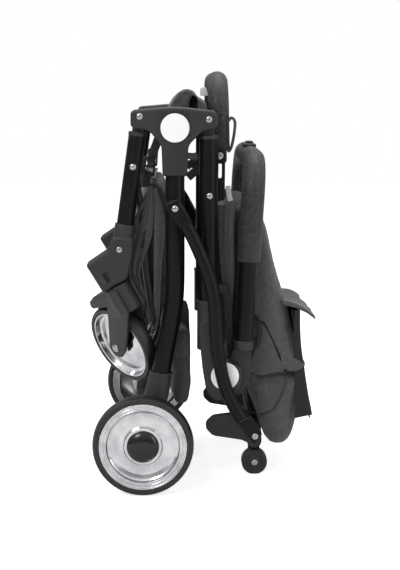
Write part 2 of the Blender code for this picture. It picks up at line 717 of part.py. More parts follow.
def handle_side(side, tag):
    """Lower handle tube and the outer half of the folding hinge."""
    bottom = HINGE.y + SLEEVE_LOW + 0.010
    top = HANDLE_PIVOT - Vector((0.0, TUBE_DROP))
    tube = rod_mesh(at(side, top, LEG_Y), at(side, (top.x, bottom), LEG_Y), HANDLE_R, 16)
    tongue = tongue_mesh(side, HANDLE_PIVOT, Vector((0, -1)), HANDLE_R + 0.0005)
    rivet = rivet_mesh(side, HANDLE_PIVOT + Vector((0.0013, -0.1107)), LEG_Y + HANDLE_R - 0.0006, 0.006)
    x = HANDLE_PIVOT.x
    cx, cz = CANOPY_PIVOT
    arm = rounded([(x + 0.0043, cz + 0.0083, 0.003), (cx + 0.0030, cz + 0.0065, 0.004),
                   (cx + 0.0060, cz - 0.0007, 0.003),
                   (cx + 0.0030, cz - 0.0065, 0.004), (x + 0.0043, cz - 0.0107, 0.003)])
    clip = plate_mesh(arm, side * CLIP_Y, side * (CLIP_Y + 0.0083))
    pin = rod_mesh(at(side, CANOPY_PIVOT, CLIP_Y + 0.0035), at(side, CANOPY_PIVOT,
                                                               BOW_Y - BOW_R - 0.0003), PIN_R, 10)
    keep(f"handle_lower_{tag}", join(tube, tongue, rivet, clip, pin), PAINT, HANDLE)
    outer = side * (LEG_Y + HINGE_HALF)
    split = side * (LEG_Y + GAP)
    hx, hz = HINGE
    sleeve = rod_mesh(at(side, (x, hz + SLEEVE_LOW), LEG_Y), at(side, (x, hz + LOWER_SLEEVE_TOP),
                                                                LEG_Y), SLEEVE_R, 16)
    cheek = rounded([(x - 0.0155, hz + LOWER_SLEEVE_TOP - 0.030, 0.01), (x + 0.0155,
                                                                         hz + LOWER_SLEEVE_TOP - 0.030,
                                                                                 0.01),
                     (x + 0.0160, hz + 0.0440, 0.02), (hx + 0.0075, hz + 0.0205, 0.012),
                             (hx + 0.0262, hz + 0.0130, 0.012),
                     (hx + 0.0225, hz - 0.0215, 0.018), (hx + 0.0020, hz - 0.0365, 0.012),
                             (hx - 0.0150, hz - 0.0375, 0.009),
                     (hx - 0.0275, hz - 0.0250, 0.012), (x - 0.0085, hz + 0.012, 0.03)])
    lobe = plate_mesh(cheek, split, outer, 0.0030)
    bore = rod_mesh(at(side, (x, bottom - GAP), LEG_Y), at(side, (x, hz + 0.2), LEG_Y), HANDLE_R + GAP, 16)
    recess = turned_mesh([(0.0, 0.01), (CAP_R + GAP, 0.01), (CAP_R + GAP, CAP_PROUD - CAP_T),
                          (0.0, CAP_PROUD - CAP_T)],
                         at(side, HINGE, LEG_Y + HINGE_HALF), side, 16)
    pin = rod_mesh(at(side, HINGE, LEG_Y - HINGE_HALF - 0.0015), at(side, HINGE,
                                                                    LEG_Y + HINGE_HALF - 0.003), 0.004, 10)
    keep(f"hinge_lower_{tag}", join(cut(join(sleeve, lobe), bore, recess), pin), PLASTIC, HANDLE)


def white_discs():
    for side, tag in SIDES:
        keep(f"hinge_disc_{tag}", disc_mesh(side, HINGE, LEG_Y + HINGE_HALF), WHITE, HANDLE)
        keep(f"hub_disc_{tag}", disc_mesh(side, HUB, LEG_Y + HUB_HALF + 0.0025), WHITE, ROOT)


def upper_side(side, tag):
    """Upper handle tube and the inner half of the folding hinge."""
    start = UPPER_START + UPPER_DIRECTION * (SLEEVE_LOW + 0.0035)
    end = UPPER_START + UPPER_DIRECTION * (GRIP_BOTTOM + 0.012)
    keep(f"handle_upper_{tag}", rod_mesh(at(side, start, LEG_Y), at(side, end, LEG_Y), UPPER_R, 16),
         PAINT, UPPER)
    hx, hz = HINGE
    low = UPPER_START + UPPER_DIRECTION * SLEEVE_LOW
    high = UPPER_START + UPPER_DIRECTION * UPPER_SLEEVE_TOP
    sleeve = rod_mesh(at(side, low, LEG_Y), at(side, high, LEG_Y), SLEEVE_R - 0.0005, 16)
    ux = UPPER_START.x
    lobe_outline = rounded([(ux - 0.0110, hz + 0.0460, 0.004), (ux + 0.0155, hz + 0.0460, 0.004),
                            (ux + 0.0145, hz + 0.0060, 0.02),
                            (hx + 0.0371, hz - 0.0135, 0.012), (hx + 0.0224, hz - 0.0340, 0.012),
                            (hx + 0.0046, hz - 0.0375, 0.012), (hx - 0.0215, hz - 0.010, 0.016),
                            (hx - 0.0180, hz + 0.0180, 0.016), (hx + 0.0060, hz + 0.0225, 0.014)])
    lobe = plate_mesh(lobe_outline, side * (LEG_Y - HINGE_HALF), side * (LEG_Y - GAP), 0.0025)
    bore = rod_mesh(at(side, start - UPPER_DIRECTION * GAP, LEG_Y), at(side,
                                                                       end + UPPER_DIRECTION * 0.1,
                            LEG_Y), UPPER_R + GAP, 16)
    pin = rod_mesh(at(side, HINGE, LEG_Y - 0.03), at(side, HINGE, LEG_Y + 0.03), 0.004 + GAP, 10)
    keep(f"hinge_upper_{tag}", cut(join(sleeve, lobe), bore, pin), PLASTIC, UPPER)


def grip():
    """The leatherette grip: one U-shaped sleeve over both tubes and the crosspiece."""
    half = LEG_Y
    points = []
    low = UPPER_START + UPPER_DIRECTION * GRIP_BOTTOM
    knee = UPPER_START + UPPER_DIRECTION * (GRIP_TOP - GRIP_CORNER)
    top = UPPER_START + UPPER_DIRECTION * GRIP_TOP
    for fraction in (0.0, 0.5, 1.0):
        place = low.lerp(knee, fraction)
        points.append(Vector((place.x, -half, place.y)))
    for step in range(1, 5):
        angle = radians(90 * step / 4)
        place = knee.lerp(top, sin(angle))
        points.append(Vector((place.x, -half + GRIP_CORNER * (1 - cos(angle)), place.y)))
    points += [Vector((p.x, -p.y, p.z)) for p in reversed(points)]
    sleeve = tube_mesh(points, GRIP_R)
    bores = []
    for side, tag in SIDES:
        start = low - UPPER_DIRECTION * 0.02
        end = low + UPPER_DIRECTION * (0.012 + GAP)
        bores.append(rod_mesh(at(side, start, LEG_Y), at(side, end, LEG_Y), UPPER_R + GAP, 16))
    saddle = box_mesh((top.x - 0.03, -0.034, top.y + GRIP_R - 0.0035), (top.x + 0.03, 0.034,
                                                                        top.y + GRIP_R + 0.02))
    keep("handle_grip", cut(sleeve, saddle, *bores), LEATHER, UPPER)
    base = top.y + GRIP_R - 0.0035 + GAP
    seat = box_mesh((top.x - 0.0095, -0.0335, base), (top.x + 0.0095, 0.0335, base + 0.0062), 0.0020)
    pocket = box_mesh((top.x - 0.0062, -0.0135, base + 0.0016), (top.x + 0.0062, 0.0135, base + 0.02))
    keep("fold_button_base", cut(seat, pocket), PLASTIC, UPPER)
    press = body("fold_button_body", (top.x, base + 0.0062), 0.0, UPPER)
    button = box_mesh((top.x - 0.0057, -0.0130, base + 0.0050), (top.x + 0.0057, 0.0130,
                                                                 base + 0.0098), 0.0012)
    keep("fold_button", button, PLASTIC, press)


def bumper_bar():
    """Padded bumper bar on two flat brackets beside the handle tubes."""
    foot = BUMPER_PIVOT + Vector((0.0000, 0.0060))
    knee = foot + Vector((-0.0014, BUMPER_RISE - BUMPER_CORNER))
    top = foot + Vector((-0.0026, BUMPER_RISE))
    points = [Vector((foot.x, -BUMPER_Y, foot.y)), Vector((knee.x, -BUMPER_Y, knee.y))]
    for step in range(1, 5):
        angle = radians(90 * step / 4)
        place = knee.lerp(top, sin(angle))
        points.append(Vector((place.x, -BUMPER_Y + BUMPER_CORNER * (1 - cos(angle)), place.y)))
    points += [Vector((p.x, -p.y, p.z)) for p in reversed(points)]
    bar = tube_mesh(points, BUMPER_R)
    ends = []
    inner = LEG_Y - HANDLE_R - 0.0004
    bx, bz = BUMPER_PIVOT
    x = HANDLE_PIVOT.x
    for side, tag in SIDES:
        block = plate_mesh(rounded([(bx - 0.0105, bz + 0.0082, 0.003), (bx + 0.0105, bz + 0.0082, 0.003),
                                    (bx + 0.0105, bz - 0.0120, 0.006), (bx - 0.0105, bz - 0.0120, 0.006)]),
                           side * (BUMPER_Y - 0.0110), side * (inner - 0.0042 - GAP))
        hole = rod_mesh(at(side, BUMPER_PIVOT, inner - 0.02), at(side, BUMPER_PIVOT, inner + 0.01),
                        PIN_R + GAP, 10)
        ends.append(cut(block, hole))
        strip = rounded([(bx - 0.0060, bz + 0.0080, 0.0055), (bx + 0.0080, bz + 0.0080, 0.0055),
                         (bx + 0.0075, bz - 0.0650, 0.005),
                         (x - 0.0080, bz - 0.0740, 0.005), (x - 0.0080, bz - 0.0560, 0.005),
                                 (bx - 0.0050, bz - 0.0500, 0.008)])
        plate = plate_mesh(strip, side * (inner - 0.0042), side * inner)
        pin = rod_mesh(at(side, BUMPER_PIVOT, inner - 0.0005), at(side, BUMPER_PIVOT, inner - 0.0110),
                       PIN_R, 14)
        window = box_mesh(at(side, (bx - 0.0028, bz - 0.0140), inner) - Vector((0, 0.01, 0)),
                          at(side, (bx + 0.0030, bz - 0.0085), inner) + Vector((0, 0.01, 0)))
        keep(f"bumper_bracket_{tag}", join(cut(plate, window), pin), PAINT, HANDLE)
    keep("bumper_bar", join(bar, *ends), LEATHER, BUMPER)


def stay_side(side, tag):
    """The bent side bar of the backrest support, with its flat upper end."""
    ax, az = STAY_PIVOT
    route = [(ax + 0.0110, az - 0.0150), (ax + 0.0260, az - 0.0430), (ax + 0.0355, az - 0.0640),
             (ax + 0.0475, az - 0.0930),
             (ax + 0.0552, az - 0.1220), (ax + 0.0588, az - 0.1500), (ax + 0.0610, az - 0.1900),
                     (ax + 0.0660, az - 0.2300),
             (ax + 0.0752, az - 0.2680), (ax + 0.0902, az - 0.3000), STAY_BAR_END]
    points = smooth_route([at(side, point, STAY_Y) for point in route], 1)
    upper = plate_mesh(rounded([(ax - 0.0165, az + 0.0055, 0.004), (ax + 0.0035, az + 0.0150, 0.004),
                                (ax + 0.0255, az - 0.0205, 0.003), (ax + 0.0075, az - 0.0310, 0.003)]),
                       side * (STAY_Y - STAY_R - 0.0008), side * (STAY_Y + STAY_R + 0.0008), 0.0025)
    hole = rod_mesh(at(side, STAY_PIVOT, STAY_Y - 0.02), at(side, STAY_PIVOT, STAY_Y + 0.02),
                    PIN_R + GAP, 10)
    keep(f"stay_bar_{tag}", cut(join(tube_mesh(points, STAY_R, 3), upper), hole), PAINT, STAY)


def stay_crossbar():
    """The cross tube at the foot of the support, with the flat ends that take the side bars."""
    fx, fz = STAY_FOOT
    reach = STAY_Y
    pieces = [rod_mesh((fx, -reach, fz), (fx, reach, fz), 0.0095, 16)]
    bores = []
    ahead = (STAY_BAR_END - (STAY_PIVOT + Vector((0.0902, -0.3000)))).normalized()
    for side, tag in SIDES:
        pieces.append(plate_mesh(rounded([(fx - 0.0263, fz + 0.0212, 0.003),
                                          (fx - 0.0080, fz + 0.0315, 0.003),
                                          (fx + 0.0112, fz + 0.0030, 0.004),
                            (fx - 0.0010, fz - 0.0145, 0.004)]),
                                 side * (STAY_Y - STAY_R - 0.0008), side * (STAY_Y + STAY_R + 0.0008),
                                         0.0025))
        pieces.append(rivet_mesh(side, STAY_FOOT, STAY_Y + STAY_R + 0.0008, 0.004))
        bores.append(rod_mesh(at(side, STAY_BAR_END + ahead * GAP, STAY_Y), at(side,
                    STAY_BAR_END - ahead * 0.05, STAY_Y),
                              STAY_R + GAP, 16))
    keep("stay_crossbar", cut(join(*pieces), *bores), PAINT, STAY)


def stand(side, tag):
    """Stand bracket clamped on the stay's cross tube, and its round foot."""
    bx, bz = STAY_FOOT
    foot = Vector((FOOT_X, FOOT_R - FOOT_FLAT))
    tip = Vector((bx - 0.0600, bz - 0.0104))
    y0 = side * (STAND_Y - 0.0090)
    y1 = side * (STAND_Y + 0.0090)
    clamp = plate_mesh(capsule((bx, bz), (foot.x - 0.0005, foot.y + 0.0340), 0.0145, 0.0115), y0, y1)
    web_half = 0.0080
    web = plate_mesh(rounded([(bx - 0.0030, bz + 0.0120, 0.003), (tip.x, tip.y + 0.0150, 0.0145),
                              (tip.x - 0.0150, tip.y, 0.0145),
                              (tip.x, tip.y - 0.0155, 0.0140), (bx - 0.0150, bz - 0.0330, 0.003),
                                      (bx + 0.006, bz - 0.0430, 0.003)]),
                     side * (STAND_Y - web_half), side * (STAND_Y + web_half))
    tab = plate_mesh(capsule(foot + Vector((0.0, 0.034)), foot, 0.0100, 0.0080), side * (STAND_Y - 0.0190),
                     side * (STAND_Y - FOOT_W / 2 - GAP))
    link = plate_mesh(capsule(foot + Vector((-0.004, 0.036)), foot + Vector((0.003, 0.033)), 0.008, 0.008),
                      side * (STAND_Y - 0.0190), side * (STAND_Y - 0.004))
    bore = rod_mesh(at(side, STAY_FOOT, STAND_Y - 0.03), at(side, STAY_FOOT, STAND_Y + 0.03),
                    0.0095 + GAP, 16)
    bolt = rivet_mesh(side, foot, STAND_Y + FOOT_W / 2 - 0.002 + 0.0006 + GAP, FOOT_W + 0.004, 0.0060,
                      0.0022)
    keep(f"stand_bracket_{tag}", join(cut(join(clamp, web, tab, link), bore), bolt), PLASTIC, STAY)
    half = FOOT_W / 2
    wheel = turned_mesh([(PIN_R + GAP, half - 0.002), (0.0125, half - 0.002), (0.0135, half),
                         (FOOT_R - 0.0025, half), (FOOT_R, half - 0.0025),
                         (FOOT_R, -half + 0.0025), (FOOT_R - 0.0025, -half), (PIN_R + GAP, -half)],
                        at(side, foot, STAND_Y), side, 16)
    floor = box_mesh((foot.x - 0.03, side * STAND_Y - 0.03, -0.03), (foot.x + 0.03,
                                                                     side * STAND_Y + 0.03, 0.0))
    keep(f"stand_foot_{tag}", cut(wheel, floor), PLASTIC, STAY)


def seat():
    """Seat tube frame that hangs between the front legs, and its padded seat."""
    x, z = SEAT_PIVOT
    y = LEG_Y - FRONT_LEG_R - 0.0090
    low = HUB + Vector((-0.0295, -0.2956))
    corner = 0.010
    side_run = [(x, z - 0.0105), (x + 0.0100, z - 0.060), (x + 0.0180, z - 0.160),
                (low.x - 0.0035, low.y + corner)]
    points = [Vector((px, -y, pz)) for px, pz in side_run]
    for step in range(1, 5):
        angle = radians(90 * step / 4)
        points.append(Vector((low.x - 0.0035 * (1 - sin(angle)), -y + corner * (1 - cos(angle)),
                              low.y + corner * (1 - sin(angle)))))
    points += [Vector((p.x, -p.y, p.z)) for p in reversed(points)]
    rails = tube_mesh(points, SEAT_TUBE_R, 2)
    eyes = []
    for side, tag in SIDES:
        eye = plate_mesh(capsule((x, z), (x, z - 0.016), 0.0080, 0.0055), side * (y - 0.0030),
                         side * (y + 0.0040))
        hole = rod_mesh(at(side, SEAT_PIVOT, y - 0.02), at(side, SEAT_PIVOT, y + 0.02), PIN_R + GAP, 10)
        eyes.append(cut(eye, hole))
    keep("seat_frame", join(rails, *eyes), PAINT, SEAT)
    half = y - SEAT_TUBE_R - 0.0006
    outline = [(-0.0740, 0.4600), (-0.0890, 0.4400), (-0.0960, 0.4200), (-0.1000, 0.3900),
               (-0.1010, 0.3450), (-0.0925, 0.3000),
               (-0.0800, 0.2700), (-0.0715, 0.2535), (-0.0580, 0.2535), (-0.0570, 0.3000),
                       (-0.0575, 0.3600), (-0.0570, 0.4200),
               (-0.0580, 0.4560)]
    pad = soft_mesh(drawn(outline), half, 0.006, (0.0, 0.3, 0.6, 0.85, 1.0),
                    lambda px, py, pz: Vector((0.0022 * sin(pz * 95 + py * 22), 0.0, 0.0)))
    keep("seat_pad", pad, CLOTH, SEAT)


def backrest_fold(x, y, z):
    """Quilting across the sitting face and two long channels down it; the canopy's side stays flat."""
    share = -min(max((HANDLE_PIVOT.x + 0.0220 - x) / 0.020, 0.0), 1.0)
    quilt = 0.0016 * cos(z * 190)
    channel = 0.0018 * cos(y * 68)
    return Vector(((quilt + channel - 0.0030) * share, 0.0, 0.0))


def canopy_fold(x, y, z):
    """Loose folds that run down and outwards over the bundle's back."""
    share = min(max((x - 0.055) / 0.040, 0.0), 1.0)
    wave = sin(z * 78 + abs(y) * 26) + 0.6 * sin(y * 46 - z * 24)
    return Vector((0.0034 * wave * share - 0.0012 * share, 0.0, 0.0016 * cos(y * 52) * share))


def visor_fold(x, y, z):
    share = min(max((z - 0.150) / 0.10, 0.0), 1.0)
    return Vector((0.0, 0.0, 0.0030 * cos(y * 44) * share))


def backrest():
    """Quilted backrest between the lower handle tubes, with the folded canopy behind it."""
    x = HANDLE_PIVOT.x
    outline = [(x + 0.0010, 0.4150), (x + 0.0030, 0.4230), (x + 0.0200, 0.4240), (x + 0.0310, 0.4150),
               (x + 0.0325, 0.3500),
               (x + 0.0325, 0.2800), (x + 0.0310, 0.2150), (x + 0.0180, 0.2050), (x + 0.0060, 0.2080),
                       (x + 0.0005, 0.2200),
               (x, 0.2800), (x, 0.3500)]
    keep("backrest_pad", soft_mesh(drawn(outline), CLOTH_HALF + 0.0004, 0.0,
                                   (0.0, 0.3, 0.6, 0.85, 1.0), backrest_fold), CLOTH, HANDLE)


def canopy():
    """The folded canopy behind the backrest, and the visor on its bow."""
    start = Vector((HANDLE_PIVOT.x + 0.0325 + GAP, 0.0))
    outline = [(start.x, 0.4150), (0.0580, 0.4260), (0.0850, 0.4120), (0.0960, 0.3900),
               (0.1020, 0.3600), (0.1090, 0.3260),
               (0.1180, 0.2920), (0.1460, 0.2600), (0.1520, 0.2200), (0.1560, 0.1700), (0.1590, 0.1300),
                       (0.1500, 0.1000),
               (0.1300, 0.0720), (0.1120, 0.0500), (0.1000, 0.0760), (0.0840, 0.1180), (0.0660, 0.1500),
                       (start.x, 0.1700),
               (start.x, 0.2500), (start.x, 0.3400)]
    bundle = soft_mesh(drawn(outline), CLOTH_HALF, 0.010, (0.0, 0.22, 0.44, 0.66, 0.85, 1.0), canopy_fold)
    keep("canopy_rear", bundle, CLOTH, HANDLE)
    visor = [(0.1215, 0.2960), (0.1440, 0.2730), (0.1745, 0.2490), (0.1700, 0.2450), (0.1600, 0.2500),
             (0.1640, 0.1900),
             (0.1700, 0.1280), (0.1735, 0.1010), (0.1640, 0.0980), (0.1640, 0.1280), (0.1605, 0.1700),
                     (0.1565, 0.2200),
             (0.1520, 0.2600), (0.1440, 0.2680)]
    flap = soft_mesh(drawn(visor), CLOTH_HALF - 0.0010, 0.0045, (0.0, 0.3, 0.6, 0.85, 1.0), visor_fold)
    keep("canopy_visor", flap, CLOTH, VISOR)
    bow()


def bow():
    """The bow that carries the visor: two side arms with eyes, joined across the visor's hem."""
    cx, cz = CANOPY_PIVOT
    way = [(cx + 0.0020, cz - 0.0030)]
    way += drawn([(0.0700, 0.2500), (0.1040, 0.1960), (0.1380, 0.1380), (0.1575, 0.1060)])
    points = [Vector((x, -BOW_Y, z)) for x, z in way]
    hem = drawn([(0.1656, 0.0946), (0.1665, 0.0956)])
    points += [Vector((hem[0][0], -BOW_Y + 0.0025, hem[0][1])), Vector((hem[1][0], -BOW_Y + 0.0120, hem[1][1]))]
    points += [Vector((p.x, -p.y, p.z)) for p in reversed(points)]
    eyes = []
    for side, tag in SIDES:
        eye = plate_mesh(arc((cx, cz), 0.0056, 0, 330, 11), side * (BOW_Y - BOW_R), side * (BOW_Y + BOW_R))
        eyes.append(eye)
    holes = [rod_mesh(at(side, CANOPY_PIVOT, BOW_Y - 0.01), at(side, CANOPY_PIVOT, BOW_Y + 0.01),
                      PIN_R + GAP, 10)
             for side, tag in SIDES]
    keep("canopy_bow", cut(join(tube_mesh(points, BOW_R, 1), *eyes), *holes), STEEL, VISOR)


def seat_top():
    """The folded upper seat cloth that bridges the two hubs, and the harness on the seat."""
    outline = [(-0.0811, 0.5650), (-0.0720, 0.5765), (-0.0590, 0.5860), (-0.0420, 0.5925),
               (-0.0230, 0.5890), (-0.0060, 0.5820),
               (0.0025, 0.5740), (0.0015, 0.5610), (-0.0180, 0.5530), (-0.0420, 0.5500),
                       (-0.0640, 0.5480), (-0.0780, 0.5540)]
    half = LEG_Y - HUB_HALF + 0.0025 - GAP
    cloth = soft_mesh(drawn(outline), half, 0.004, (0.0, 0.3, 0.6, 0.85, 1.0),
                      lambda px, py, pz: Vector((0.0, 0.0,
                              0.0030 * cos(py * 60) * min(max((pz - 0.556) / 0.02, 0), 1))))
    keep("seat_top_cloth", cloth, CLOTH, ROOT)
    y = 0.1210
    strap = 0.0012
    belt = [(-0.0592, 0.5270), (-0.0745, 0.5330), (-0.0865, 0.4930), (-0.0800, 0.4780),
            (-0.0940, 0.4640), (-0.0905, 0.4580),
            (-0.0765, 0.4615), (-0.0700, 0.4850)]
    pieces = []
    for side, tag in SIDES:
        pieces.append(plate_mesh(belt, side * (y - strap), side * (y + strap)))
        buckle = rounded([(-0.0858, 0.4925, 0.004), (-0.0690, 0.4955, 0.004), (-0.0715, 0.4680, 0.004),
                          (-0.0870, 0.4660, 0.004)])
        pieces.append(plate_mesh(buckle, side * (y - 0.0045), side * (y + 0.0045), 0.0012))
    pieces.append(box_mesh((-0.0872, -y - 0.0004, 0.4604), (-0.0690, y + 0.0004, 0.4630)))
    straps = join(pieces[0], *pieces[1:])
    straps.transform(Matrix.Translation((HUB.x - DRAWN_HUB.x, 0.0, HUB.y - DRAWN_HUB.y)))
    keep("harness", straps, WEBBING, SEAT)


def basket():
    half = LEG_Y - 0.0200
    spread = LEG_Y - REAR_LEG_R - GAP - half
    outline = [(-0.0640, 0.2310), (-0.0580, 0.2080), (-0.0490, 0.1900), (-0.0420, 0.1650),
               (-0.0440, 0.1260), (-0.0340, 0.1180),
               (-0.0240, 0.1230), (-0.0200, 0.1600), (-0.0210, 0.2280), (-0.0400, 0.2330)]
    bag = soft_mesh(drawn(outline), half, 0.0, (0.0, 0.3, 0.6, 0.9, 1.0),
                    lambda px, py, pz: Vector((0.0018 * sin(pz * 120 + py * 30),
                                               spread * py / half * min(max((pz - 0.190) / 0.015, 0.0),
                                                                        1.0), 0.0)))
    keep("basket", bag, CLOTH, ROOT)


for SIDE, TAG in SIDES:
    hub(SIDE, TAG)
    rear_leg(SIDE, TAG)
    rear_wheel(SIDE, TAG)
    front_leg(SIDE, TAG)
    front_shoe(SIDE, TAG)
    caster(SIDE, TAG)
    handle_side(SIDE, TAG)
    upper_side(SIDE, TAG)
    stay_side(SIDE, TAG)
    stand(SIDE, TAG)
rear_axle()
brake_pedal()
front_crossbar()
white_discs()
grip()
bumper_bar()
stay_crossbar()
seat()
backrest()
canopy()
seat_top()
basket()
ROOT.location.x += CENTRE_SHIFT
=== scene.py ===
from math import atan2, cos, degrees, pi, radians, sin, tan

import bmesh
import bpy
import numpy as np
from mathutils import Matrix, Vector, noise
from mathutils.bvhtree import BVHTree


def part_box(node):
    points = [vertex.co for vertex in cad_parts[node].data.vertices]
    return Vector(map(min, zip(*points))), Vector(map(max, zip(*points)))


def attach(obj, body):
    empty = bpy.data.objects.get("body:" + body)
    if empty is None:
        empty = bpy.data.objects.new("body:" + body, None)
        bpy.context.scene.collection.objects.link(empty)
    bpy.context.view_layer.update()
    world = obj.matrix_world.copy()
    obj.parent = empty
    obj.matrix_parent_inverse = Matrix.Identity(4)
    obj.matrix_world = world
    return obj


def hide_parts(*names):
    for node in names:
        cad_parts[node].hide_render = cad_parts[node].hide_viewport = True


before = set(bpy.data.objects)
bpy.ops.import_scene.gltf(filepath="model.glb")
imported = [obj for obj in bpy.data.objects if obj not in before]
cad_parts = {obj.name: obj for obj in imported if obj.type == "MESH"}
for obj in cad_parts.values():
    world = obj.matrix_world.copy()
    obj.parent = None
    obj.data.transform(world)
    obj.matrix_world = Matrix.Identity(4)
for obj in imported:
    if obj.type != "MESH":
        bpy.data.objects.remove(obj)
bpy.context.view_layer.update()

# The pieces below are built where part.py builds them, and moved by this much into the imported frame.
centreShift = -0.0021
sides = ((-1, "l"), (1, "r"))

scene = bpy.context.scene
workshop = bpy.data.collections.new("workshop")
scene.collection.children.link(workshop)


# Shader nodes

def node(tree, kind, inputs=None, **settings):
    made = tree.nodes.new(kind)
    for key, value in settings.items():
        setattr(made, key, value)
    for key, value in (inputs or {}).items():
        if isinstance(value, bpy.types.NodeSocket):
            tree.links.new(value, made.inputs[key])
        else:
            made.inputs[key].default_value = value
    return made


def group(tree, nodeTree, inputs):
    return node(tree, "ShaderNodeGroup", inputs, node_tree=nodeTree)


def maths(tree, operation, a, b=0.0, clamp=False):
    return node(tree, "ShaderNodeMath", {0: a, 1: b}, operation=operation, use_clamp=clamp).outputs[0]


def mixed(tree, share, a, b):
    return node(tree, "ShaderNodeMix", {0: share, 6: a, 7: b}, data_type="RGBA").outputs[2]


def span(tree, value, low, high, newLow, newHigh):
    return node(tree, "ShaderNodeMapRange", {0: value, 1: low, 2: high, 3: newLow, 4: newHigh}).outputs[0]


def specks(tree, vector, scale, detail, roughness=0.5):
    return node(tree, "ShaderNodeTexNoise",
                {"Vector": vector, "Scale": scale, "Detail": detail, "Roughness": roughness}).outputs[0]


def tint(r, g, b):
    return (r, g, b, 1.0)


def grey(value):
    return tint(value, value, value)


# A node group: its first input is always the place on the piece
def newGroup(name, inputs, outputs):
    tree = bpy.data.node_groups.new(name, "ShaderNodeTree")
    tree.interface.new_socket("Vector", in_out="INPUT", socket_type="NodeSocketVector")
    for label, kind, value in inputs:
        tree.interface.new_socket(label, in_out="INPUT", socket_type=kind).default_value = value
    for label, kind in outputs:
        tree.interface.new_socket(label, in_out="OUTPUT", socket_type=kind)
    return tree, tree.nodes.new("NodeGroupInput").outputs, tree.nodes.new("NodeGroupOutput").inputs


def makeGrain():
    tree, given, out = newGroup("mouldedGrain", [("Scale", "NodeSocketFloat", 1500.0)],
                                [("Height", "NodeSocketFloat"), ("Mottle", "NodeSocketFloat")])
    tree.links.new(specks(tree, given[0], given[1], 3.0, 0.6), out[0])
    tree.links.new(span(tree, specks(tree, given[0], 26.0, 4.0), 0.3, 0.7, 0.0, 1.0), out[1])
    return tree


def makeWear():
    tree, given, out = newGroup("edgeWear", [("Amount", "NodeSocketFloat", 0.5)], [("Mask", "NodeSocketFloat")])
    shape = node(tree, "ShaderNodeNewGeometry")
    edge = span(tree, shape.outputs["Pointiness"], 0.52, 0.62, 0.0, 1.0)
    patchy = span(tree, specks(tree, given[0], 120.0, 5.0), 0.42, 0.62, 0.0, 1.0)
    tree.links.new(maths(tree, "MULTIPLY", maths(tree, "MULTIPLY", edge, patchy), given[1], True), out[0])
    return tree


# Warp and weft as two crossed waves; on faces that look to the side they run along x, elsewhere along y
def makeWeave():
    tree, given, out = newGroup("plainWeave", [("Pitch", "NodeSocketFloat", 0.0009)],
                                [("Height", "NodeSocketFloat"), ("Warp", "NodeSocketFloat")])
    shape = node(tree, "ShaderNodeNewGeometry")
    parts = node(tree, "ShaderNodeSeparateXYZ", {0: given[0]})
    facing = node(tree, "ShaderNodeSeparateXYZ", {0: shape.outputs["Normal"]})
    sideways = maths(tree, "GREATER_THAN", maths(tree, "ABSOLUTE", facing.outputs[1]), 0.7)
    across = node(tree, "ShaderNodeMix", {0: sideways, 2: parts.outputs[1], 3: parts.outputs[0]}).outputs[0]
    count = maths(tree, "DIVIDE", 2 * pi, given[1])
    first = maths(tree, "SINE", maths(tree, "MULTIPLY", across, count))
    second = maths(tree, "SINE", maths(tree, "MULTIPLY", parts.outputs[2], count))
    tree.links.new(span(tree, maths(tree, "MULTIPLY", first, second), -1.0, 1.0, 0.0, 1.0), out[0])
    tree.links.new(span(tree, first, -1.0, 1.0, 0.0, 1.0), out[1])
    return tree


def makeHeather():
    tree, given, out = newGroup("heather", [
        ("Dark", "NodeSocketColor", tint(0.03, 0.03, 0.033)),
        ("Light", "NodeSocketColor", tint(0.20, 0.19, 0.20)),
        ("Amount", "NodeSocketFloat", 0.5)], [("Color", "NodeSocketColor"), ("Fibre", "NodeSocketFloat")])
    halves = []
    for scale in ((900.0, 900.0, 2600.0), (2600.0, 2600.0, 900.0)):
        stretched = node(tree, "ShaderNodeMapping", {"Vector": given[0], "Scale": scale})
        halves.append(maths(tree, "MULTIPLY", specks(tree, stretched.outputs[0], 1.0, 2.0), 0.5))
    speck = span(tree, maths(tree, "ADD", *halves), 0.40, 0.60, 0.0, 1.0)
    patch = span(tree, specks(tree, given[0], 190.0, 4.0, 0.7), 0.30, 0.70, 0.30, 1.0)
    share = maths(tree, "MULTIPLY", maths(tree, "MULTIPLY", speck, patch), given[3], True)
    tree.links.new(mixed(tree, share, given[1], given[2]), out[0])
    tree.links.new(speck, out[1])
    return tree


grainGroup = makeGrain()
wearGroup = makeWear()
weaveGroup = makeWeave()
heatherGroup = makeHeather()


def newLook(name, slotName, **uniform):
    look = bpy.data.materials.new(name)
    look.use_nodes = True
    tree = look.node_tree
    tree.nodes.clear()
    shader = node(tree, "ShaderNodeBsdfPrincipled")
    node(tree, "ShaderNodeOutputMaterial", {0: shader.outputs[0]})
    for key, value in uniform.items():
        shader.inputs[key.replace("_", " ")].default_value = value
    return look, tree, shader, node(tree, "ShaderNodeTexCoord").outputs["Object"]


def surfaced(tree, shader, colour, roughness, height, strength, distance):
    relief = node(tree, "ShaderNodeBump", {"Height": height, "Strength": strength, "Distance": distance})
    for value, label in ((colour, "Base Color"), (roughness, "Roughness"), (relief.outputs[0], "Normal")):
        tree.links.new(value, shader.inputs[label])


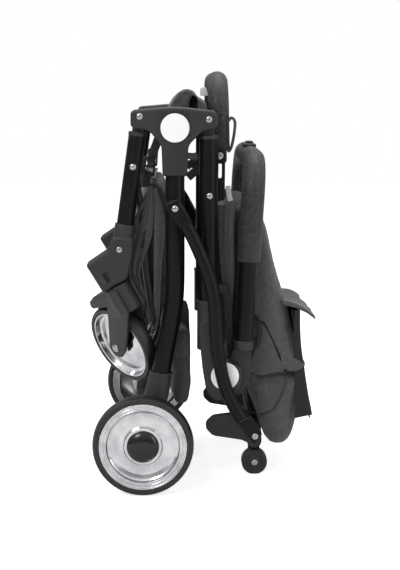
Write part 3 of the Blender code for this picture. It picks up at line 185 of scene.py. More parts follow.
def hardLook(name, slotName, dark, light, roughness, scale, strength, distance=0.0002, wear=0.0, **uniform):
    look, tree, shader, where = newLook(name, slotName, **uniform)
    grain = group(tree, grainGroup, {"Vector": where, "Scale": scale})
    worn = group(tree, wearGroup, {"Vector": where, "Amount": wear}).outputs[0]
    colour = mixed(tree, grain.outputs["Mottle"], tint(*dark), tint(*light))
    pale = tuple(min(1.0, 1.9 * c + 0.02) for c in light)
    rough = span(tree, grain.outputs["Mottle"], 0.0, 1.0, roughness - 0.05, roughness + 0.05)
    rough = maths(tree, "ADD", rough, maths(tree, "MULTIPLY", worn, 0.12))
    colour = mixed(tree, worn, colour, tint(*pale))
    surfaced(tree, shader, colour, rough, grain.outputs["Height"], strength, distance)
    return look


paintedTube = hardLook("paintedTube", "black_tube", (0.0024, 0.0026, 0.0026), (0.0046, 0.0048, 0.0048), 0.38,
                       900.0, 0.10, wear=0.25, Specular_IOR_Level=0.17, Coat_Weight=0.03, Coat_Roughness=0.20)
mouldedPlastic = hardLook("mouldedPlastic", "charcoal_plastic", (0.017, 0.0185, 0.0193),
                          (0.024, 0.0255, 0.0263), 0.52, 2100.0, 0.22, 0.0003, 0.30, Specular_IOR_Level=0.38)
glossyPlastic = hardLook("glossyPlastic", "charcoal_plastic", (0.005, 0.005, 0.006), (0.008, 0.008, 0.009),
                         0.16, 500.0, 0.02, wear=0.2, Specular_IOR_Level=0.35, Coat_Weight=0.25,
                         Coat_Roughness=0.06)
tyreRubber = hardLook("tyreRubber", "tyre_rubber", (0.008, 0.008, 0.0085), (0.014, 0.014, 0.014), 0.48,
                      1300.0, 0.25, 0.0003, 0.25)
brightSteel = hardLook("brightSteel", "bright_steel", (0.36, 0.36, 0.35), (0.50, 0.50, 0.49), 0.24, 1600.0,
                       0.06, wear=0.2, Metallic=1.0)
whiteDisc = hardLook("whiteDisc", "white_disc", (0.93, 0.93, 0.93), (0.96, 0.96, 0.96), 0.38, 1400.0, 0.05)
tagLook = hardLook("tagCloth", "webbing", (0.55, 0.55, 0.53), (0.68, 0.68, 0.66), 0.72, 2400.0, 0.25)


def makeChrome():
    look, tree, shader, where = newLook("chromeDish", "chrome_dish", Metallic=1.0)
    haze = span(tree, specks(tree, where, 60.0, 6.0), 0.3, 0.7, 0.0, 1.0)
    colour = mixed(tree, haze, tint(0.52, 0.53, 0.55), tint(0.76, 0.76, 0.77))
    rough = span(tree, haze, 0.0, 1.0, 0.09, 0.17)
    surfaced(tree, shader, colour, rough, specks(tree, where, 900.0, 2.0), 0.03, 0.0002)
    return look


def makeLeather():
    look, tree, shader, where = newLook("leatherette", "grip_leatherette", Coat_Weight=0.12, Coat_Roughness=0.4)
    bent = node(tree, "ShaderNodeTexNoise", {"Vector": where, "Scale": 260.0, "Detail": 2.0})
    moved = node(tree, "ShaderNodeVectorMath", {0: bent.outputs[1], 1: (0.0012, 0.0012, 0.0012)},
                 operation="MULTIPLY")
    warped = node(tree, "ShaderNodeVectorMath", {0: where, 1: moved.outputs[0]}, operation="ADD")
    pebbles = {"Vector": warped.outputs[0], "Scale": 420.0}
    gaps = node(tree, "ShaderNodeTexVoronoi", pebbles, feature="DISTANCE_TO_EDGE")
    cells = node(tree, "ShaderNodeTexVoronoi", pebbles)
    dome = span(tree, gaps.outputs[0], 0.0, 0.22, 0.0, 1.0)
    base = mixed(tree, specks(tree, where, 30.0, 3.0), tint(0.009, 0.009, 0.0095), grey(0.020))
    tone = node(tree, "ShaderNodeSeparateColor", {0: cells.outputs["Color"]})
    base = mixed(tree, maths(tree, "POWER", tone.outputs[1], 2.0), base, grey(0.062))
    rough = span(tree, tone.outputs[0], 0.0, 1.0, 0.38, 0.52)
    # The gaps between the pebbles are painted near-black: painted shade in the grain's hollows
    surfaced(tree, shader, mixed(tree, dome, grey(0.004), base), rough, dome, 0.9, 0.0010)
    return look


def clothLook(name, slotName, dark, light, amount, pitch=0.0009, sheen=0.25):
    look, tree, shader, where = newLook(name, slotName, Sheen_Weight=sheen, Sheen_Roughness=0.55)
    heather = group(tree, heatherGroup,
                    {"Vector": where, "Dark": tint(*dark), "Light": tint(*light), "Amount": amount}).outputs
    weave = group(tree, weaveGroup, {"Vector": where, "Pitch": pitch}).outputs["Height"]
    faded = span(tree, specks(tree, where, 14.0, 4.0), 0.3, 0.7, 0.0, 0.35)
    colour = mixed(tree, faded, heather["Color"], tint(*dark))
    # The low places of the weave are painted darker: painted shade between the threads
    shaded = mixed(tree, maths(tree, "MULTIPLY", weave, 0.35), tint(*(c * 0.6 for c in dark)), colour)
    both = maths(tree, "ADD", weave, maths(tree, "MULTIPLY", heather["Fibre"], 0.5))
    rough = span(tree, heather["Fibre"], 0.0, 1.0, 0.82, 0.96)
    surfaced(tree, shader, mixed(tree, 0.72, shaded, colour), rough, both, 0.45, 0.0004)
    return look


def makeWebbing():
    look, tree, shader, where = newLook("wovenWebbing", "webbing", Sheen_Weight=0.2)
    dark = tint(0.045, 0.045, 0.047)
    weave = group(tree, weaveGroup, {"Vector": where, "Pitch": 0.0022}).outputs
    heather = group(tree, heatherGroup, {"Vector": where, "Dark": dark, "Light": grey(0.20), "Amount": 0.7})
    surfaced(tree, shader, mixed(tree, weave["Warp"], heather.outputs["Color"], dark),
             span(tree, weave["Height"], 0.0, 1.0, 0.7, 0.88), weave["Height"], 0.7, 0.0005)
    return look


chromeDish = makeChrome()
leatherette = makeLeather()
canopyCloth = clothLook("melangeCloth", "melange_cloth", (0.036, 0.033, 0.037), (0.235, 0.222, 0.234), 0.66)
# The seat's own cloth; on the canopy lens it also stands in as painted shade
seatAndShadeCloth = clothLook("melangeSeatAndShade", "melange_cloth", (0.040, 0.037, 0.040), (0.225, 0.212, 0.220), 0.64)
# A near-black cloth; in the seat-top arch it stands in as painted shade
nearBlackCloth = clothLook("nearBlackMelange", "melange_cloth", (0.006, 0.006, 0.007), (0.022, 0.022, 0.023), 0.5,
                        0.0007, 0.1)
webbing = makeWebbing()
threadLook = hardLook("sewingThread", "webbing", (0.018, 0.018, 0.019), (0.040, 0.040, 0.041), 0.70, 3000.0,
                      0.2)
print("materials made")


# Geometry

def put(data):
    made = bpy.data.objects.new("work", data)
    workshop.objects.link(made)
    return made


def evaluated(made):
    bpy.context.view_layer.update()
    graph = bpy.context.evaluated_depsgraph_get()
    mesh = bpy.data.meshes.new_from_object(made.evaluated_get(graph))
    mesh.transform(made.matrix_world)
    bpy.data.objects.remove(made, do_unlink=True)
    return mesh


def worked(mesh, *steps):
    made = put(mesh)
    for kind, settings in steps:
        step = made.modifiers.new(kind, kind)
        for key, value in settings.items():
            setattr(step, key, value)
    return evaluated(made)


def softEdges(width, segments=2):
    return ("BEVEL", {"width": width, "segments": segments, "limit_method": "ANGLE",
                      "angle_limit": radians(60)})


def thick(sheet, thickness):
    return worked(sheet, ("SOLIDIFY", {"thickness": thickness, "offset": 0.0, "use_even_offset": False}))


def combined(base, others, operation):
    tools = [put(other) for other in others]
    steps = [("BOOLEAN", {"operation": operation, "object": tool, "solver": "EXACT"}) for tool in tools]
    result = worked(base, *steps)
    for tool in tools:
        bpy.data.objects.remove(tool, do_unlink=True)
    return result


def cut(base, *others):
    return combined(base, others, "DIFFERENCE")


def fused(base, *others):
    return combined(base, others, "UNION")


def together(*meshes):
    soup = bmesh.new()
    for mesh in meshes:
        soup.from_mesh(mesh)
    return poured(soup)


def poured(soup):
    mesh = bpy.data.meshes.new("work")
    soup.to_mesh(mesh)
    soup.free()
    return mesh


# A surface through rows of points, with UVs in metres along the middle row and across the rows
def gridMesh(rows, wrapAlong=False, wrapAcross=False, caps=False):
    count = len(rows[0])
    total = len(rows)
    soup = bmesh.new()
    uvLayer = soup.loops.layers.uv.new("UVMap")
    verts = [[soup.verts.new(place) for place in row] for row in rows]
    across = [0.0]
    for near, far in zip(rows, rows[1:] + rows[:1]):
        across.append(across[-1] + sum((Vector(p) - Vector(q)).length for p, q in zip(near, far)) / count)
    middle = rows[total // 2]
    along = [0.0]
    for p, q in zip(middle, list(middle[1:]) + [middle[0]]):
        along.append(along[-1] + (Vector(p) - Vector(q)).length)
    for i in range(total if wrapAcross else total - 1):
        for j in range(count if wrapAlong else count - 1):
            nextRow = verts[(i + 1) % total]
            after = (j + 1) % count
            face = soup.faces.new((verts[i][j], verts[i][after], nextRow[after], nextRow[j]))
            corners = ((along[j], across[i]), (along[j + 1], across[i]), (along[j + 1], across[i + 1]),
                       (along[j], across[i + 1]))
            for loop, corner in zip(face.loops, corners):
                loop[uvLayer].uv = corner
    if caps:
        soup.faces.new(verts[0][::-1])
        soup.faces.new(verts[-1])
    bmesh.ops.remove_doubles(soup, verts=soup.verts, dist=0.000002)
    bmesh.ops.recalc_face_normals(soup, faces=soup.faces)
    return poured(soup)


# A smooth route through the points, each span cut into equal steps
def spline(points, steps=8, closed=False):
    route = [Vector(point) for point in points]
    if closed:
        ends = [route[-1]] + route + route[:2]
    else:
        ends = [2 * route[0] - route[1]] + route + [2 * route[-1] - route[-2]]
    out = []
    for i in range(1, len(ends) - 2):
        a, b, c, d = ends[i - 1:i + 3]
        for step in range(steps):
            t = step / steps
            out.append(0.5 * ((2 * b) + (c - a) * t + (2 * a - 5 * b + 4 * c - d) * t * t
                              + (3 * b - a - 3 * c + d) * t ** 3))
    if not closed:
        out.append(route[-1])
    return out


# Along a route: its direction and two axes across it that don't twist
def frames(route):
    tangents = []
    for i in range(len(route)):
        before = route[max(i - 1, 0)]
        after = route[min(i + 1, len(route) - 1)]
        tangents.append((after - before).normalized())
    start = Vector((0, 1, 0)) if abs(tangents[0].y) < 0.9 else Vector((1, 0, 0))
    side = (start - tangents[0] * start.dot(tangents[0])).normalized()
    out = []
    for tangent in tangents:
        side = (side - tangent * side.dot(tangent)).normalized()
        out.append((tangent, side, tangent.cross(side)))
    return out


# A round bar along a route, with both ends eased over edge
def tube(points, radius, count=28, edge=0.0006):
    route = [Vector(point) for point in points]
    radii = list(radius) if hasattr(radius, "__len__") else [radius] * len(route)
    axes = frames(route)
    if edge > 0:
        for end, inward in ((0, axes[0][0]), (-1, -axes[-1][0])):
            place, size, axis = route[end], radii[end], axes[end]
            places = [place + inward * edge * (1 - sin(radians(a))) for a in (90, 60, 30, 0)]
            sizes = [size - edge * (1 - cos(radians(a))) for a in (90, 60, 30, 0)]
            if end == 0:
                route, radii, axes = places + route[1:], sizes + radii[1:], [axis] * 4 + axes[1:]
            else:
                route, radii, axes = route[:-1] + places[::-1], radii[:-1] + sizes[::-1], axes[:-1] + [axis] * 4
    turns = [2 * pi * k / count for k in range(count)]
    rows = [[place + side * cos(turn) * size + up * sin(turn) * size for turn in turns]
            for place, size, (tangent, side, up) in zip(route, radii, axes)]
    return gridMesh(rows, wrapAlong=True, caps=True)


def at(side, point, y):
    return Vector((point[0], side * y, point[1]))


def rod(start, end, radius, count=28, edge=0.0006):
    return tube([start, (start + end) / 2, end], radius, count, edge)


# A rod across the stroller at one point of the side view, from y0 to y1
def crossRod(side, point, y0, y1, radius, count=28, edge=0.0006):
    return rod(at(side, point, y0), at(side, point, y1), radius, count, edge)


def arc(centre, radius, start, end, steps):
    angles = [radians(start + (end - start) * step / steps) for step in range(steps + 1)]
    return [(centre[0] + radius * cos(angle), centre[1] + radius * sin(angle)) for angle in angles]


# Corners given as x, z and the radius that each is rounded to
def rounded(corners, fine=7.0):
    out = []
    count = len(corners)
    for index in range(count):
        x, z, radius = corners[index]
        here = Vector((x, z))
        back = Vector(corners[index - 1][:2]) - here
        ahead = Vector(corners[(index + 1) % count][:2]) - here
        half = back.angle(ahead) / 2
        room = 0.48 * min(back.length, ahead.length)
        radius = min(radius, room * tan(half))
        if radius <= 0.0 or half > radians(88.5):
            out.append((x, z))
            continue
        back.normalize()
        ahead.normalize()
        middle = here + (back + ahead).normalized() * radius / sin(half)
        footA = here + back * radius / tan(half)
        footB = here + ahead * radius / tan(half)
        angleA = atan2(footA.y - middle.y, footA.x - middle.x)
        angleB = atan2(footB.y - middle.y, footB.x - middle.x)
        turn = (angleB - angleA + pi) % (2 * pi) - pi
        steps = 2 + round(degrees(abs(turn)) / fine)
        out += arc(middle, radius, degrees(angleA), degrees(angleA + turn), steps)
    return out


def around(point, corners, fine=7.0):
    return rounded([(point[0] + x, point[1] + z, radius) for x, z, radius in corners], fine)


def capsule(a, b, radiusA, radiusB, steps=18):
    a = Vector(a)
    b = Vector(b)
    along = degrees(atan2(b.y - a.y, b.x - a.x))
    lean = degrees(atan2(radiusA - radiusB, (b - a).length))
    return (arc(a, radiusA, along + 90 - lean, along + 270 + lean, steps)
            + arc(b, radiusB, along - 90 + lean, along + 90 - lean, steps))


# A flat piece in the side view, from y0 to y1
def plate(outline, y0, y1, bevel=0.0006, segments=3):
    curve = bpy.data.curves.new("plate", "CURVE")
    curve.dimensions = "2D"
    curve.fill_mode = "BOTH"
    curve.extrude = abs(y1 - y0) / 2 - bevel
    curve.bevel_depth = bevel
    curve.bevel_resolution = segments - 1
    curve.offset = -bevel
    line = curve.splines.new("POLY")
    line.points.add(len(outline) - 1)
    for index, point in enumerate(outline):
        line.points[index].co = (point[0], point[1], 0.0, 1.0)
    line.use_cyclic_u = True
    made = put(curve)
    made.rotation_euler = (pi / 2, 0.0, 0.0)
    made.location = (0.0, (y0 + y1) / 2, 0.0)
    soup = bmesh.new()
    soup.from_mesh(evaluated(made))
    bmesh.ops.remove_doubles(soup, verts=soup.verts, dist=0.00001)
    bmesh.ops.recalc_face_normals(soup, faces=soup.faces)
    return poured(soup)


def sidePlate(side, outline, y0, y1, bevel=0.0006, segments=3):
    return plate(outline, side * y0, side * y1, bevel, segments)


def block(low, high, edge=0.0006, segments=3):
    soup = bmesh.new()
    bmesh.ops.create_cube(soup, size=1.0)
    mesh = poured(soup)
    low = Vector(low)
    high = Vector(high)
    mesh.transform(Matrix.Translation((low + high) / 2) @ Matrix.Diagonal((*(high - low), 1.0)))
    return worked(mesh, ("BEVEL", {"width": edge, "segments": segments})) if edge > 0 else mesh


# A profile of radius and y, turned about the cross axis through a point
def turned(profile, centre, side=1, steps=96):
    rows = []
    for step in range(steps):
        angle = 2 * pi * step / steps
        rows.append([Vector((r * cos(angle), side * y, r * sin(angle))) + Vector(centre) for r, y in profile])
    return gridMesh(rows, wrapAlong=True, wrapAcross=True)


def eased(profile):
    return rounded(profile, 12.0)


def settled(name, mesh, body, nodes, angle):
    mesh.transform(Matrix.Translation((centreShift, 0.0, 0.0)))
    mesh.shade_smooth()
    mesh.set_sharp_from_angle(angle=radians(angle))
    piece = bpy.data.objects.new(name, mesh)
    scene.collection.objects.link(piece)
    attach(piece, body)
    if nodes:
        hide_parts(*nodes)
    return piece


def add(name, mesh, look, body, *nodes, angle=38):
    mesh.materials.clear()
    mesh.materials.append(look)
    return settled(name, mesh, body, nodes, angle)


# Places and sizes the pieces share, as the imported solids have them

gap = 0.0003
legY = 0.163
trackY = 0.2055
stayY = 0.192
standY = 0.100
wheelTubeRadius = 0.014
frontTubeRadius = 0.01275
upperTubeRadius = 0.0137
pinRadius = 0.0032
discRadius = 0.0208
hub = Vector((-0.0405, 0.5396))
frontPivot = hub + Vector((-0.0507, 0.0163))
handlePivot = hub + Vector((0.0490, 0.0122))
stayPivot = hub + Vector((0.0, -0.1144))
hinge = handlePivot + Vector((0.0252, -0.3788))
stayFoot = stayPivot + Vector((0.1185, -0.3381))
stayEnd = stayPivot + Vector((0.1040, -0.3200))
axle = Vector((-0.0877, 0.075))
legEnd = Vector((-0.0668, 0.149))
legRun = Vector((-0.0206, -0.1463)).normalized()
tubeDrop = 0.0245
frontTop = frontPivot + legRun * tubeDrop
frontEnd = frontTop + legRun * 0.150
seatPivot = frontPivot + legRun * 0.0735
casterTop = frontEnd + Vector((-0.0127, -0.0755))
canopyPivot = Vector((handlePivot.x + 0.0260, 0.3000))
bumperPivot = handlePivot + Vector((0.0170, -0.0539))
upperWay = Vector((sin(radians(3.2)), cos(radians(3.2))))
upperStart = Vector((2 * hinge.x - handlePivot.x, hinge.y))
hubFace = legY + 0.0200
hubBack = legY - 0.0150
hingeFace = legY + 0.0165


def legRod(side, start, end, radius, count=28, edge=0.0006):
    return rod(at(side, start, legY), at(side, end, legY), radius, count, edge)


def rivet(name, side, point, face, body, radius=0.0047, height=0.0022):
    profile = [(0.0, height)]
    for step in range(1, 9):
        angle = radians(90 * step / 8)
        profile.append((radius * 0.92 * sin(angle), 0.0005 + (height - 0.0005) * cos(angle)))
    profile += [(radius, 0.0004), (radius, -0.0008), (0.0, -0.0008)]
    return add(name, turned(profile, at(side, point, face), side, 40), brightSteel, body)


def discSeat(side, point, face):
    wide = discRadius + gap
    return turned([(0.0, 0.01), (wide, 0.01), (wide, -0.0011),
                   (0.0, -0.0011)], at(side, point, face), side, 64)


def disc(name, side, point, face, body, nodeName):
    low = -0.0011 + gap
    top = 0.0007
    edge = 0.0006
    rim = [(discRadius - edge + edge * sin(radians(a)), top - edge + edge * cos(radians(a)))
           for a in (0, 30, 60, 90)]
    profile = [(0.0, top), (discRadius * 0.55, top), (discRadius * 0.86, top - 0.00008)] + rim
    profile += [(discRadius, low), (0.0, low)]
    add(name, turned(profile, at(side, point, face), side, 80), whiteDisc, body, nodeName)


def tongue(side, pivot, way, radius):
    start = pivot + way * (tubeDrop + 0.0043)
    collar = legRod(side, pivot + way * (tubeDrop - 0.0012), start, radius, 36, 0.0008)
    flat = capsule(pivot, pivot + way * tubeDrop, 0.0085, 0.0085)
    return together(collar, sidePlate(side, flat, legY - 0.008, legY + 0.008, 0.0012))


def hubPieces(side, tag):
    z = hub.y
    stem = 0.0180
    outline = around(hub, [
        (-0.0640, 0.0, 0.007), (-0.0640, 0.0250, 0.007), (0.0, 0.0307, 0.20), (0.0618, 0.0240, 0.010),
        (0.0618, -0.0005, 0.008), (0.0400, -0.0045, 0.02), (stem + 0.0015, -0.0250, 0.018),
        (stem, -0.0700, 0.0046), (-stem, -0.0700, 0.0046), (-stem - 0.0015, -0.0250, 0.018),
        (-0.0380, -0.0035, 0.02)], 5.0)
    base = sidePlate(side, outline, hubBack, hubFace, 0.0042, 6)
    lowY = side * legY - 0.0088
    highY = side * legY + 0.0088
    fx, fz = frontPivot
    px, pz = handlePivot
    frontSlot = block((fx - 0.05, lowY, z - 0.05), (fx + 0.0093, highY, fz + 0.0097), 0.0)
    wedge = plate([(px - 0.0093, z - 0.05), (px + 0.06, z - 0.05), (px + 0.06, pz + 0.0171),
                   (px - 0.0093, pz + 0.0093)], lowY, highY, 0.0001, 1)
    socket = legRod(side, (hub.x, z - 0.08), (hub.x, z - 0.044), 0.0143, 32, 0.0)
    line = turned([(0.0234, 0.002), (0.0242, 0.002), (0.0242, -0.0006), (0.0234, -0.0006)],
                  at(side, hub, hubFace), side, 64)
    shell = cut(base, frontSlot, wedge, socket, discSeat(side, hub, hubFace), line)
    add(f"hub_shell_{tag}", shell, mouldedPlastic, "frame", f"hub_{tag}", angle=30)
    rivet(f"hub_front_rivet_{tag}", side, frontPivot, hubFace, "frame")
    rivet(f"hub_handle_rivet_{tag}", side, handlePivot, hubFace, "frame")
    rivet(f"hub_front_rivet_in_{tag}", -side, frontPivot, -hubBack, "frame", 0.0048, 0.0012)
    rivet(f"hub_handle_rivet_in_{tag}", -side, handlePivot, -hubBack, "frame", 0.0048, 0.0012)
    disc(f"hub_cap_{tag}", side, hub, hubFace, "frame", f"hub_disc_{tag}")


def rearLegPieces(side, tag):
    bend = hub + Vector((0.0, -0.2300))
    shin = Vector((-0.0540, bend.y - 0.094))
    route = [(hub.x, hub.y - 0.0443), (hub.x, hub.y - 0.12), bend, (-0.0448, bend.y - 0.045), shin, legEnd]
    points = spline([at(side, point, legY) for point in route], 10)
    spacer = crossRod(side, stayPivot, legY, stayY - 0.0111, 0.0075, 24)
    leg = together(tube(points, wheelTubeRadius, 40), spacer)
    add(f"rear_leg_tube_{tag}", leg, paintedTube, "frame", f"rear_leg_{tag}")
    rivet(f"stay_rivet_{tag}", side, stayPivot, stayY + 0.0117, "frame")
    top = legEnd + (shin - legEnd).normalized() * 0.028
    foot = axle + Vector((0.0030, 0.0080))
    spine = spline([at(side, point, legY) for point in (top, legEnd, (legEnd + foot) / 2, foot)], 7)
    radii = [0.0166 + 0.0026 * min(1.0, i / 14) for i in range(len(spine))]
    radii[-4:] = [0.0190, 0.0188, 0.0183, 0.0175]
    boss = crossRod(side, axle, legY - 0.0180, trackY - 0.0158, 0.0215, 56, 0.0020)
    lip = tube([at(side, top, legY) - Vector((0, 0, drop)) for drop in (0.004, 0.002, 0.0)],
               [0.0172, 0.0174, 0.0172], 40)
    shell = worked(fused(tube(spine, radii, 40, 0.0014), boss), softEdges(0.0012))
    add(f"rear_socket_shell_{tag}", shell, mouldedPlastic, "frame", f"rear_socket_{tag}", angle=40)
    add(f"rear_socket_lip_{tag}", lip, mouldedPlastic, "frame")
    rivet(f"rear_socket_rivet_{tag}", side, legEnd + Vector((0.0, 0.0020)), legY + 0.0158, "frame", 0.0042,
          0.0018)


def tyre(side, centre, radius, width, depth, tread):
    half = width / 2
    inner = radius - depth
    outer = []
    for step in range(15):
        angle = radians(-84 + 168 * step / 14)
        outer.append((radius - depth * 0.40 * (1 - cos(angle)) ** 0.9, half * 0.90 * sin(angle)))
    bead = [(inner + depth * 0.30, half * 0.885), (inner + depth * 0.24, half * 0.865),
            (inner + depth * 0.16, half * 0.875), (inner, half * 0.84)]
    return turned(outer + bead + [(r, -y) for r, y in reversed(bead)], centre, side, tread)


def rearWheelPieces(side, tag):
    centre = at(side, axle, trackY)
    body = f"rear_wheel_{tag}"
    ring = tyre(side, centre, 0.075, 0.030, 0.0095, 144)
    add(f"rear_tyre_ring_{tag}", ring, tyreRubber, body, f"rear_tyre_{tag}", angle=50)
    steps = [(0.0652, 0.0112, 0.0004), (0.0646, 0.0119, 0.0004), (0.0630, 0.0119, 0.0005),
             (0.0624, 0.0108, 0.0004), (0.0606, 0.0106, 0.0004), (0.0600, 0.0113, 0.0004),
             (0.0586, 0.0113, 0.0004), (0.0580, 0.0101, 0.0004), (0.0562, 0.0099, 0.0004),
             (0.0557, 0.0105, 0.0004), (0.0545, 0.0105, 0.0004), (0.0536, 0.0082, 0.0006)]
    dish = [(0.0528, 0.0064, 0.0004), (0.0500, 0.0048, 0.002), (0.0440, 0.0035, 0.01), (0.0360, 0.0030, 0.02),
            (0.0296, 0.0034, 0.003), (0.0282, 0.0052, 0.001), (0.0276, 0.0084, 0.0005),
            (0.0250, 0.0084, 0.0004)]
    bore = [(0.0060, 0.0084, 0.0), (0.0054, 0.0084, 0.0)]
    back = [(0.0054, -0.0084, 0.0), (0.0250, -0.0084, 0.0), (0.0282, -0.0052, 0.0), (0.0300, -0.0030, 0.0),
            (0.0500, -0.0046, 0.0), (0.0536, -0.0070, 0.0), (0.0560, -0.0100, 0.0), (0.0652, -0.0112, 0.0)]
    rim = turned(eased(steps + dish + bore + back), centre, side, 128)
    add(f"rear_dish_{tag}", rim, chromeDish, body, f"rear_rim_{tag}", angle=30)
    line = eased([(0.0652, 0.0116, 0.0002), (0.0658, 0.0121, 0.0003), (0.0664, 0.0121, 0.0003),
                  (0.0668, 0.0116, 0.0002)])
    add(f"rear_bead_line_{tag}", turned(line, centre, side, 128), brightSteel, body)
    cap = [(0.0, 0.0172), (0.0060, 0.0171), (0.0120, 0.0165), (0.0170, 0.0153), (0.0205, 0.0136),
           (0.0226, 0.0117), (0.0238, 0.0100), (0.0240, 0.0088), (0.0, 0.0088)]
    add(f"rear_cap_{tag}", turned(cap, centre, side, 72), glossyPlastic, body, f"rear_wheel_cap_{tag}",
        angle=50)


def axlePieces():
    sleeve = crossRod(1, axle, -0.1547, 0.1547, 0.011, 32, 0.0)
    pins = crossRod(1, axle, -0.2145, 0.2145, 0.005, 24, 0.0)
    add("rear_axle_tube", together(sleeve, pins), paintedTube, "frame", "rear_axle_bar")
    outline = capsule(axle, (axle.x + 0.046, axle.y - 0.026), 0.0155, 0.006)
    arms = []
    for y in (-0.052, 0.044):
        bore = crossRod(1, axle, y - 0.01, y + 0.02, 0.0114, 40, 0.0)
        arms.append(cut(plate(outline, y, y + 0.008, 0.0012), bore))
    ax, az = axle
    tread = block((ax + 0.030, -0.060, az - 0.0290), (ax + 0.056, 0.060, az - 0.0220), 0.0025, 4)
    ribs = [block((ax + 0.033, y - 0.0011, az - 0.0224), (ax + 0.053, y + 0.0011, az - 0.0213), 0.0005, 2)
            for y in (-0.042, -0.028, -0.014, 0.0, 0.014, 0.028, 0.042)]
    add("brake_tread", together(fused(tread, *arms), *ribs), mouldedPlastic, "brake", "brake_pedal", angle=35)


def frontLegPieces(side, tag):
    leg = tube([at(side, frontTop.lerp(frontEnd, k / 12), legY) for k in range(13)], frontTubeRadius, 40)
    add(f"front_leg_tube_{tag}", leg, paintedTube, "front", f"front_leg_{tag}")
    add(f"front_leg_tongue_{tag}", tongue(side, frontPivot, legRun, 0.01335), mouldedPlastic, "front")
    rivet(f"seat_rivet_{tag}", side, seatPivot, legY + 0.0122, "front")
    pin = crossRod(side, seatPivot, legY - 0.0100, legY - 0.0205, pinRadius, 16)
    add(f"seat_pin_{tag}", pin, brightSteel, "front")
    housing = around(frontEnd, [
        (0.0134, -0.0015, 0.005), (0.0133, -0.0270, 0.03), (0.0045, -0.0640, 0.0048),
        (-0.0305, -0.0855, 0.0048), (-0.0562, -0.0432, 0.0050), (-0.0245, -0.0215, 0.003),
        (-0.0150, -0.0015, 0.006)], 5.0)
    base = sidePlate(side, housing, legY - 0.0165, hingeFace, 0.0047, 6)
    middle = casterTop + Vector((-0.5, 0.866)) * 0.0165 + Vector((-0.0040, 0.0))
    along = Vector((-0.5, 0.866)) * 0.0074
    across = Vector((0.866, 0.5)) * 0.0036
    corners = [middle + along * a + across * b for a, b in ((-1, -1), (-1, 1), (1, 1), (1, -1))]
    window = rounded([(*corner, 0.0010) for corner in corners])
    shell = cut(base, sidePlate(side, window, legY + 0.0112, legY + 0.03, 0.0003))
    add(f"front_shoe_shell_{tag}", shell, mouldedPlastic, "front", f"front_shoe_{tag}", angle=30)
    collar = legRod(side, frontEnd - legRun * 0.016, frontEnd + legRun * 0.02, 0.01515, 40, 0.0012)
    add(f"front_shoe_collar_{tag}", collar, mouldedPlastic, "front")
    rivet(f"front_shoe_screw_{tag}", side, frontEnd + Vector((-0.0065, -0.0205)), hingeFace, "front", 0.0042,
          0.0014)


# Built upright about its swivel, which then leans with the folded leg and is turned inwards
def casterPieces(side, tag):
    place = (Matrix.Translation(at(side, casterTop, legY)) @ Matrix.Rotation(radians(-30), 4, "Y")
             @ Matrix.Rotation(-side * radians(127), 4, "Z"))
    inner = 0.0138
    outer = 0.0180
    hold = Vector((0.067, -0.0890))
    centre = (hold.x, 0.0, hold.y)
    crown = turned(eased([(0.0, -0.0006, 0.0), (0.0194, -0.0006, 0.0028), (0.0194, -0.0440, 0.0030),
                          (0.0, -0.0440, 0.0)]), (0, 0, 0), 1, 72)
    crown.transform(Matrix.Rotation(radians(90), 4, "X"))
    nose = rounded([(0.0, -0.0030, 0.004), (0.0590, -0.0030, 0.020), (0.0775, -0.0085, 0.009),
                    (0.0800, -0.0185, 0.0045), (0.0700, -0.0240, 0.003), (0.0, -0.0260, 0.004)], 6.0)
    leg = rounded([(-0.0190, -0.0030, 0.004), (0.0110, -0.0030, 0.008), (0.0210, -0.0180, 0.03),
                   (0.0430, -0.0422, 0.06), (0.0720, -0.0731, 0.02), (0.0828, -0.0835, 0.006),
                   (0.0838, -0.0925, 0.006), (0.0800, -0.1005, 0.006), (0.0735, -0.1050, 0.006),
                   (0.0660, -0.1062, 0.006), (0.0500, -0.1000, 0.012), (0.0240, -0.0800, 0.06),
                   (-0.0010, -0.0590, 0.014), (-0.0175, -0.0440, 0.006)], 6.0)
    pieces = [plate(nose, -0.0125, 0.0125, 0.0030, 5)]
    pieces += [sidePlate(flip, leg, inner, outer, 0.0016, 4) for flip in (-1, 1)]
    fork = cut(fused(crown, *pieces), crossRod(1, hold, -inner, inner, 0.0683, 128, 0.0))
    head = eased([(0.0, outer + 0.0030, 0.0), (0.0046, outer + 0.0026, 0.001),
                  (0.0070, outer + 0.0008, 0.001), (0.0070, outer - 0.0008, 0.0),
                  (0.0, outer - 0.0008, 0.0)])
    bolt = together(crossRod(1, hold, -outer, outer, 0.004, 20, 0.0),
                    *[turned(head, centre, flip, 40) for flip in (-1, 1)])
    face = [(0.0562, 0.0092, 0.0003), (0.0556, 0.0100, 0.0004), (0.0536, 0.0100, 0.0006),
            (0.0526, 0.0070, 0.0006), (0.0508, 0.0026, 0.0010), (0.0470, 0.0016, 0.002),
            (0.0440, 0.0024, 0.004), (0.0330, 0.0058, 0.02), (0.0200, 0.0070, 0.004), (0.0150, 0.0072, 0.001),
            (0.0128, 0.0094, 0.001), (0.0120, 0.0098, 0.0004), (0.0044, 0.0098, 0.0)]
    dish = turned(eased(face + [(r, -y, e) for r, y, e in reversed(face)]), centre, 1, 112)
    ring = tyre(1, centre, 0.065, 0.024, 0.0085, 128)
    for mesh in (fork, bolt, ring, dish):
        mesh.transform(place)
    body = f"front_wheel_{tag}"
    add(f"caster_fork_shell_{tag}", fork, mouldedPlastic, f"caster_{tag}", f"caster_fork_{tag}", angle=34)
    add(f"caster_bolt_{tag}", bolt, brightSteel, f"caster_{tag}")
    add(f"front_tyre_ring_{tag}", ring, tyreRubber, body, f"front_tyre_{tag}", angle=50)
    add(f"front_dish_{tag}", dish, chromeDish, body, f"front_rim_{tag}", angle=30)


def footrestPieces():
    bar = crossRod(1, frontEnd + Vector((-0.0045, -0.0200)), -0.1462, 0.1462, 0.0085, 32)
    add("footrest_tube", bar, paintedTube, "front", "footrest_bar")


